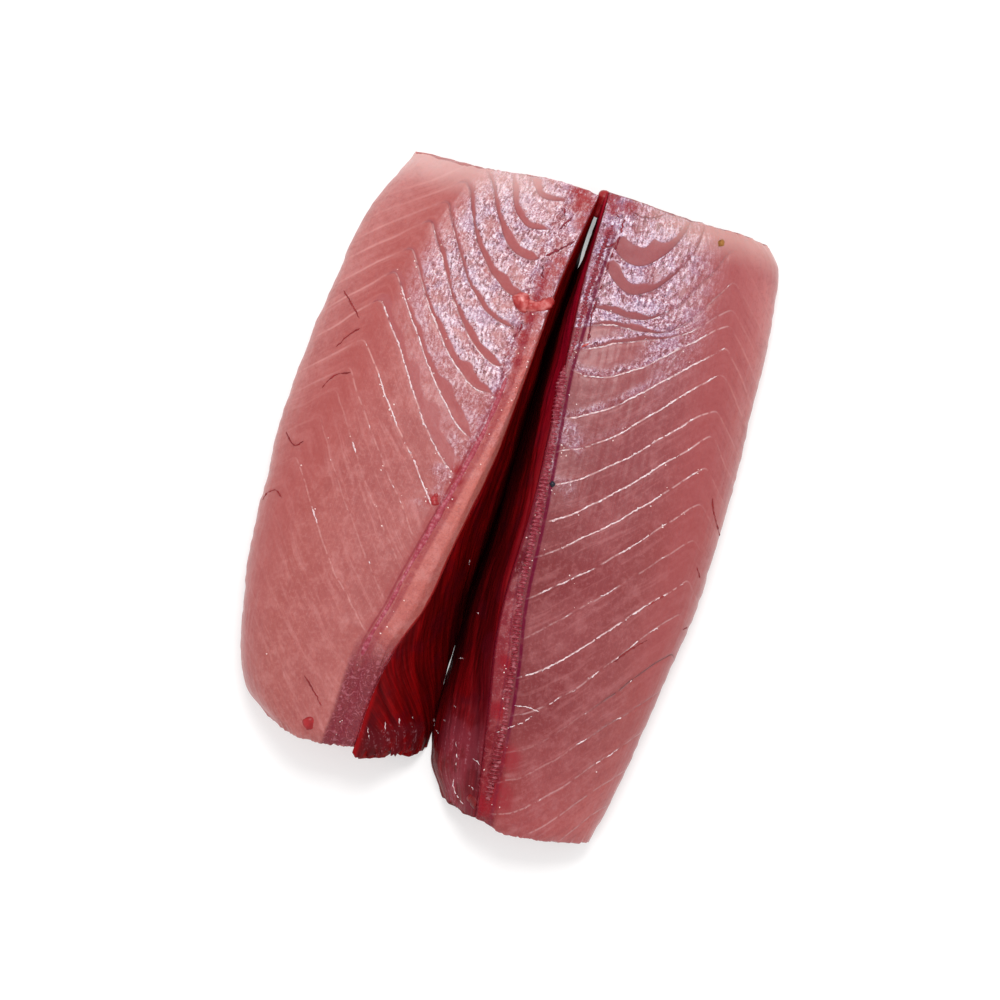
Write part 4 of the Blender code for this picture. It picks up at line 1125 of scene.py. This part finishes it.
tissues = {  # "sunk" is how deep a lump of it lies, where that isn't the usual share of its radius
    # wet collagen of the septa: white, partly its own colour and partly a painted glint
    "septumCollagenAndGlint": {"tones": [(0.3, "#CA9A9C"), (0.62, "#E8D2D6")], "mottle": 500.0, "bump": 0.5,
                          "roughness": 0.22, "through": 0.2},
    # the wall of a vessel full of blood, smooth and pink-red, its palest patches a painted highlight
    "vesselWallLeft": {"tones": [(0.36, "#86202E"), (0.52, "#A6485A"), (0.66, "#D08C96")], "mottle": 620.0,
                       "bump": 1.0, "roughness": 0.34, "through": 0.2,
                       "lengthwise": [(0.1, "#701A34"), (0.35, "#963242"), (0.6, "#963442"), (1.0, "#A03A40")]},
    # the same, collapsed and cross-ribbed like a cord, its palest patches a painted highlight
    "vesselWallRight": {"tones": [(0.36, "#6A0E1C"), (0.52, "#8A2E3E"), (0.64, "#CC8892")], "mottle": 620.0,
                        "bump": 0.9, "roughness": 0.28, "through": 0.2,
                        "lengthwise": [(0.0, "#761018"), (0.4, "#862434"), (0.8, "#7C1C30"), (1.0, "#7A1E32")]},
    # old blood drawn out thin in a small vessel: deep wine red
    "darkBloodLine": {"tones": [(0.35, "#58061A"), (0.65, "#821628")], "mottle": 300.0, "bump": 0.4,
                      "roughness": 0.3, "through": 0.0},
    # fresh clot: opaque orange-red jelly
    "freshClot": {"tones": [(0.35, "#921E20"), (0.5, "#AC403E"), (0.66, "#C87674")], "mottle": 350.0, "bump": 0.6,
                  "roughness": 0.22, "through": 0.3},
    # blood that has just set, bright and glossy
    "freshBlood": {"tones": [(0.35, "#840C14"), (0.65, "#A01C22")], "mottle": 300.0, "bump": 0.5,
                   "roughness": 0.35, "through": 0.2, "sunk": 0.75},
    # a thicker pool of blood, dark and still wet
    "heldBlood": {"tones": [(0.35, "#560006"), (0.65, "#7E040C")], "mottle": 260.0, "bump": 0.6,
                  "roughness": 0.35, "through": 0.0, "sunk": 0.6},
    # torn flesh along a crack: its own deep red, darkened as painted shade inside the crack
    "crackedFleshAndShade": {"tones": [(0.35, "#700E14"), (0.65, "#8C2426")], "mottle": 300.0, "bump": 0.5,
                     "roughness": 0.45, "through": 0.0},
    # a drop of clear lymph, painted milky white as its glint
    "lymphBeadGlint": {"tones": [(0.3, "#D9A7A2"), (0.6, "#EFD2CF")], "mottle": 600.0, "bump": 0.2,
                  "roughness": 0.15, "through": 0.2},
    # a speck of fat gone brown
    "brownSpeck": {"tones": [(0.35, "#7A4A18"), (0.65, "#9C6A2C")], "mottle": 500.0, "bump": 0.4,
                   "roughness": 0.4, "through": 0.1},
    # a spot of skin pigment, blue-black
    "blueBlackSpot": {"tones": [(0.35, "#0C0A14"), (0.65, "#201C2C")], "mottle": 500.0, "bump": 0.4,
                      "roughness": 0.3, "through": 0.0},
}
made = {name: tissueMaterial(name, look) for name, look in tissues.items()}
details = {
    # how thick and how deep in the flesh each kind of thread is, in mm
    "septum": (0.30, 0.08), "splinter": (0.24, 0.08), "crack": (0.32, 0.02), "strayFibre": (0.22, 0.05),
    "bloodTrack": (0.42, 0.1),
    # mm, and the share of its radius that a vessel's or a lump's middle lies below the flesh
    "vesselRadius": {"left": 1.3, "right": 1.8}, "ribPitch": 1.4, "vesselSunk": 0.62, "lumpSunk": 0.3,
    "beadsPerSquareMetre": 110000.0, "beadSize": 0.22,
    # short cracks in plan, in mm, laid as dark threads: torn flesh and painted shade inside
    "cracks": [
        [(-60, 74.5), (-57, 69.5), (-54, 64)], [(-50.5, 75), (-51.5, 72)], [(-62.5, 54), (-58, 58), (-54, 60.5)],
        [(-67.5, 39), (-65, 42), (-62, 44), (-57, 44.5)], [(-81, 24), (-79, 20), (-77, 18.5), (-74, 20)],
        [(-89.5, -1), (-87.5, 1.5), (-84.5, 2.5), (-82, 0)], [(-73, -63.5), (-70, -68.5), (-67, -74)],
        [(49, -39.5), (52, -37), (55.5, -35)], [(37, -59), (43, -54.5), (49.5, -51)], [(62, -48), (65.5, -46.7)],
        [(72.5, 0.5), (73.5, -6.5), (76, -14)], [(67, -24.5), (68.5, -29.5)],
    ],
    # small vessels and blood tracks in plan, in mm
    "bloodTracks": [
        [(41.2, 104.6), (40.8, 99), (38.4, 91), (36.4, 86.5), (34.8, 81.8), (33.4, 77.5), (32, 73.6)],
        [(32, 73.6), (30.4, 68.8), (29.1, 64.4), (28.6, 60.6), (27.7, 55.1), (26.3, 50.9)],
        [(26.6, 56.5), (28.4, 54.4), (31.6, 55.6)], [(38.4, 91), (35, 89.4), (31.6, 89.8)],
        [(40.6, 99), (37.6, 101.6)],
        [(22.6, 101), (21.3, 99.2), (16.7, 95)], [(23, 91.6), (18, 88.6), (12.4, 86.1)],
        [(12, 83.6), (11.6, 80.6), (11.9, 78)], [(20.6, 106.5), (19.4, 103), (20, 100)],
        [(4.6, 62.5), (3.6, 59.6), (1.4, 57.2)],
    ],
    # stray white fibres across the right vessel, and glints on the cut painted as short white threads, in plan, in
    # mm
    "strayFibres": [
        [(-4.7, -83.8), (0.7, -81.7), (5.3, -79.9), (9.2, -76.3)], [(1, -73.9), (6.3, -75), (10.6, -76.3)],
        [(-28.1, -79.9), (-27.4, -83.8), (-25.6, -86.6)], [(-18.3, -58.6), (-15.2, -58.4)],
        [(-21.8, -74.4), (-20.4, -75.2), (-19.4, -76.4)], [(-24, -81), (-22.4, -81.6)],
        [(-12, -41.5), (-11, -42.6)],
        [(-14.6, -22.6), (-14.8, -24.6)], [(-50.6, -82), (-50.2, -86)], [(-44.6, -80.5), (-44.8, -84.5)],
        [(-39.6, -78.5), (-39.9, -83)], [(-35, -79), (-35.4, -83.5)],
        [(-20.2, -101), (-20.4, -104), (-19.2, -107.4), (-16.4, -110.8)],
        [(-13.6, -93.6), (-12, -94.2), (-10.8, -95.6)], [(-15.6, -103.4), (-14, -103.6), (-13.2, -104.8)],
        [(-19.4, -88), (-19.2, -93), (-19.6, -99)],
    ],
    # lumps, in mm: material, points of a path in plan, where a third number is the height, and thickest radius
    "lumps": [
        ("freshClot", [(3.6, 73.2), (3.8, 71), (5.0, 69), (7.2, 68.2)], 3.1),
        ("freshClot", [(4.6, 69.8), (6.8, 68.4), (9.9, 68.0), (12.9, 68.8), (15.4, 70.2)], 2.6),
        ("freshBlood", [(-20, 8.6), (-18.2, 9), (-16.6, 9.8), (-15, 11.2)], 2.4),
        ("freshBlood", [(-19.4, 6.6), (-17.4, 8.6)], 2.0),
        ("freshBlood", [(-28.6, 1.0), (-27.0, -0.8), (-26.6, -4.0)], 2.8),
        ("freshBlood", [(-28.4, 0.6), (-24.4, 0.6)], 2.2),
        ("freshBlood", [(-72.2, -77.6), (-71.6, -81), (-70.8, -84)], 2.6),
        ("heldBlood", [(-15.4, -106.4), (-13.6, -108.6), (-12.0, -111)], 3.0),
        ("freshClot", [(25.2, 53.2), (26.5, 54), (28.4, 54.6)], 0.45),
        ("brownSpeck", [(74.6, 91.7), (75.8, 91), (76.6, 90)], 1.5),
        ("blueBlackSpot", [(14.8, 5.8), (15, 4.6), (14.8, 3.2)], 1.2),
        ("freshBlood", [(34.6, 109.6, 23), (33.8, 107.6, 21), (32.6, 105, 19), (31.2, 101.6, 15)], 2.6),
        ("crackedFleshAndShade", [(-41.2, 16.2), (-40.8, 15.8)], 0.35),
        ("crackedFleshAndShade", [(-34.7, -9.3), (-34.3, -9.7)], 0.35),
    ],
}


def treeOf(piece):
    mesh = piece.data
    return BVHTree.FromPolygons([v.co[:] for v in mesh.vertices], [p.vertices[:] for p in mesh.polygons])


surfaces = [treeOf(piece) for piece in (leftPale, rightPale, leftDark, rightDark)]
threads, cords, dews = threadTree(), cordTree(), dewTree()


def addThreads(name, where, paths, size, material, **shape):  # size is how thick and how deep, in mm
    mesh = pathMesh(name + "_path", where, paths, size[1])
    settings = {"Thickness": size[0] * mm, "Sides": 6, **shape}
    grow(name, threads, mesh, settings, made[material])


# white septum threads: the collagen's own white, with a painted glint along each thread
for side, loin, seed in (("left", left, 1.0), ("right", right, 4.0)):
    paths = []
    for layer in loin.layers[layersBefore:-layersAfter]:
        if layer[atWhite] > 0.05:
            path = layerPath(loin, layer)
            number = np.arange(len(path))
            fade = smooth(number, 0, 12) * (1 - 0.5 * smooth(number, 120, 160))
            paths.append((path, layer[atWhite] * fade))
    fainter = [(path, white * 0.55) for path, white in paths]
    addThreads(side + "_septum_threads", surfaces[:2], paths, details["septum"], "septumCollagenAndGlint",
               Break=0.006, Bead=0.0011, Wander=0.0009, Seed=seed)
    addThreads(side + "_septum_splinters", surfaces[:2], fainter, details["splinter"], "septumCollagenAndGlint",
               Break=0.0025, Bead=0.0008, Wander=0.0030, Seed=seed + 2)
cordPlans = {
    # off the middle in mm, share of the radius, depth of the ribs, the shares of the length it runs between
    "left": [(0.0, 1.0, 0.06, (0.14, 0.68))],
    "right": [(-0.1, 1.0, 0.24, (0.02, 0.72)), (0.1, 0.5, 0.30, (0.715, 0.965))],
}
for side, loin, wall in (("left", left, "vesselWallLeft"), ("right", right, "vesselWallRight")):
    for number, (off, share, rib, reach) in enumerate(cordPlans[side]):
        radius = details["vesselRadius"][side] * share
        mesh = pathMesh(side + "_vessel_path", surfaces[:2], [(besideVessel(loin, off, *reach), 1.0)],
                        radius * details["vesselSunk"])
        grow("%s_vessel_%d" % (side, number + 1), cords, mesh,
                           {"Radius": radius * mm, "Pitch": details["ribPitch"] * mm, "Rib": rib}, made[wall])
for name, where, paths, white, size, material, shape in (
        ("short_cracks", surfaces[:2], "cracks", 1.0, "crack", "crackedFleshAndShade",
         {"Break": 50.0, "Bead": 0.002, "Wander": 0.0010, "Seed": 2.0}),
        ("stray_fibres_and_glints", surfaces, "strayFibres", 1.0, "strayFibre", "septumCollagenAndGlint",
         {"Break": 0.004, "Bead": 0.0012, "Wander": 0.0014, "Seed": 6.0}),
        ("small_blood_tracks", surfaces[:2], "bloodTracks", 0.9, "bloodTrack", "darkBloodLine",
         {"Break": 0.006, "Bead": 0.002, "Wander": 0.0016, "Seed": 3.0})):
    addThreads(name, where, [(finer(path), white) for path in details[paths]], details[size], material, **shape)
for number, (material, path, radius) in enumerate(details["lumps"]):
    sink = radius * tissues[material].get("sunk", details["lumpSunk"])
    addThreads("%s_%d" % (material, number + 1), surfaces, [(finer(path, 0.3), 1.0)], (radius, sink), material,
               Break=50.0, Bead=0.012, Wander=0.0, Seed=2.0, Sides=14)
# pale beads of lymph, whose milky white is a painted glint
for side, flesh in (("left", leftPale), ("right", rightPale)):
    grow(side + "_wet_beads", dews, flesh.data.copy(),
                       {"Density": details["beadsPerSquareMetre"], "Size": details["beadSize"] * mm, "Seed": 5},
                       made["lymphBeadGlint"])
print("threads, vessels, cracks and beads made")

for piece, node, slot in ((leftPale, "left_loin", "pale_meat"), (rightPale, "right_loin", "pale_meat"),
                          (leftDark, "left_dark_muscle", "dark_muscle"),
                          (rightDark, "right_dark_muscle", "dark_muscle")):
    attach(piece, "root")
    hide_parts(node)

# Floor, lights and camera: sizes and places in metres, power in watts.
studio = {"floorTone": "#CECECE", "floorGlow": 0.36, "skyStrength": 0.98, "softboxPower": 7.2,
          "softboxSize": (0.40, 0.32), "softboxPlace": (0.06, 0.52, 1.15), "softboxTint": (1.0, 0.985, 0.97),
          "lens": 110, "eye": (-0.0036, -0.0011, 1.12)}
floorMesh = bpy.data.meshes.new("studio_floor")
floorMesh.from_pydata([(-2, -2, 0), (2, -2, 0), (2, 2, 0), (-2, 2, 0)], [], [(0, 1, 2, 3)])
floor = putInScene("studio_floor", floorMesh)
# Matt paper lit from below: no sheen, only soft pale shade.
paper, paperTree, read = startMaterial("lightTablePaper")
paperShader = addNode(paperTree, "ShaderNodeBsdfPrincipled", {
    "Base Color": srgb(studio["floorTone"]), "Roughness": 0.9, "Specular IOR Level": 0.0,
    "Emission Color": (1.0, 1.0, 1.0, 1.0), "Emission Strength": studio["floorGlow"]})
addNode(paperTree, "ShaderNodeOutputMaterial", {}, {"Surface": paperShader})
floorMesh.materials.append(paper)

world = bpy.data.worlds.new("studioSky")
bpy.context.scene.world = world
world.use_nodes = True
world.node_tree.nodes["Background"].inputs["Color"].default_value = (1.0, 1.0, 1.0, 1.0)
world.node_tree.nodes["Background"].inputs["Strength"].default_value = studio["skyStrength"]
lamp = bpy.data.lights.new("softbox", "AREA")
lamp.shape, lamp.size, lamp.size_y = "RECTANGLE", *studio["softboxSize"]
lamp.energy, lamp.color = studio["softboxPower"], studio["softboxTint"]
softbox = putInScene("softbox", lamp)
softbox.location = studio["softboxPlace"]
softbox.rotation_euler = (Vector((0, 0.03, 0.03)) - softbox.location).to_track_quat("-Z", "Y").to_euler()

lens = bpy.data.cameras.new("camera")
lens.lens, lens.sensor_width, lens.clip_start = studio["lens"], 36, 0.01
camera = putInScene("camera", lens)
camera.location = studio["eye"]
bpy.context.scene.camera = camera
bpy.context.scene.view_settings.view_transform = "Standard"
print("studio made")
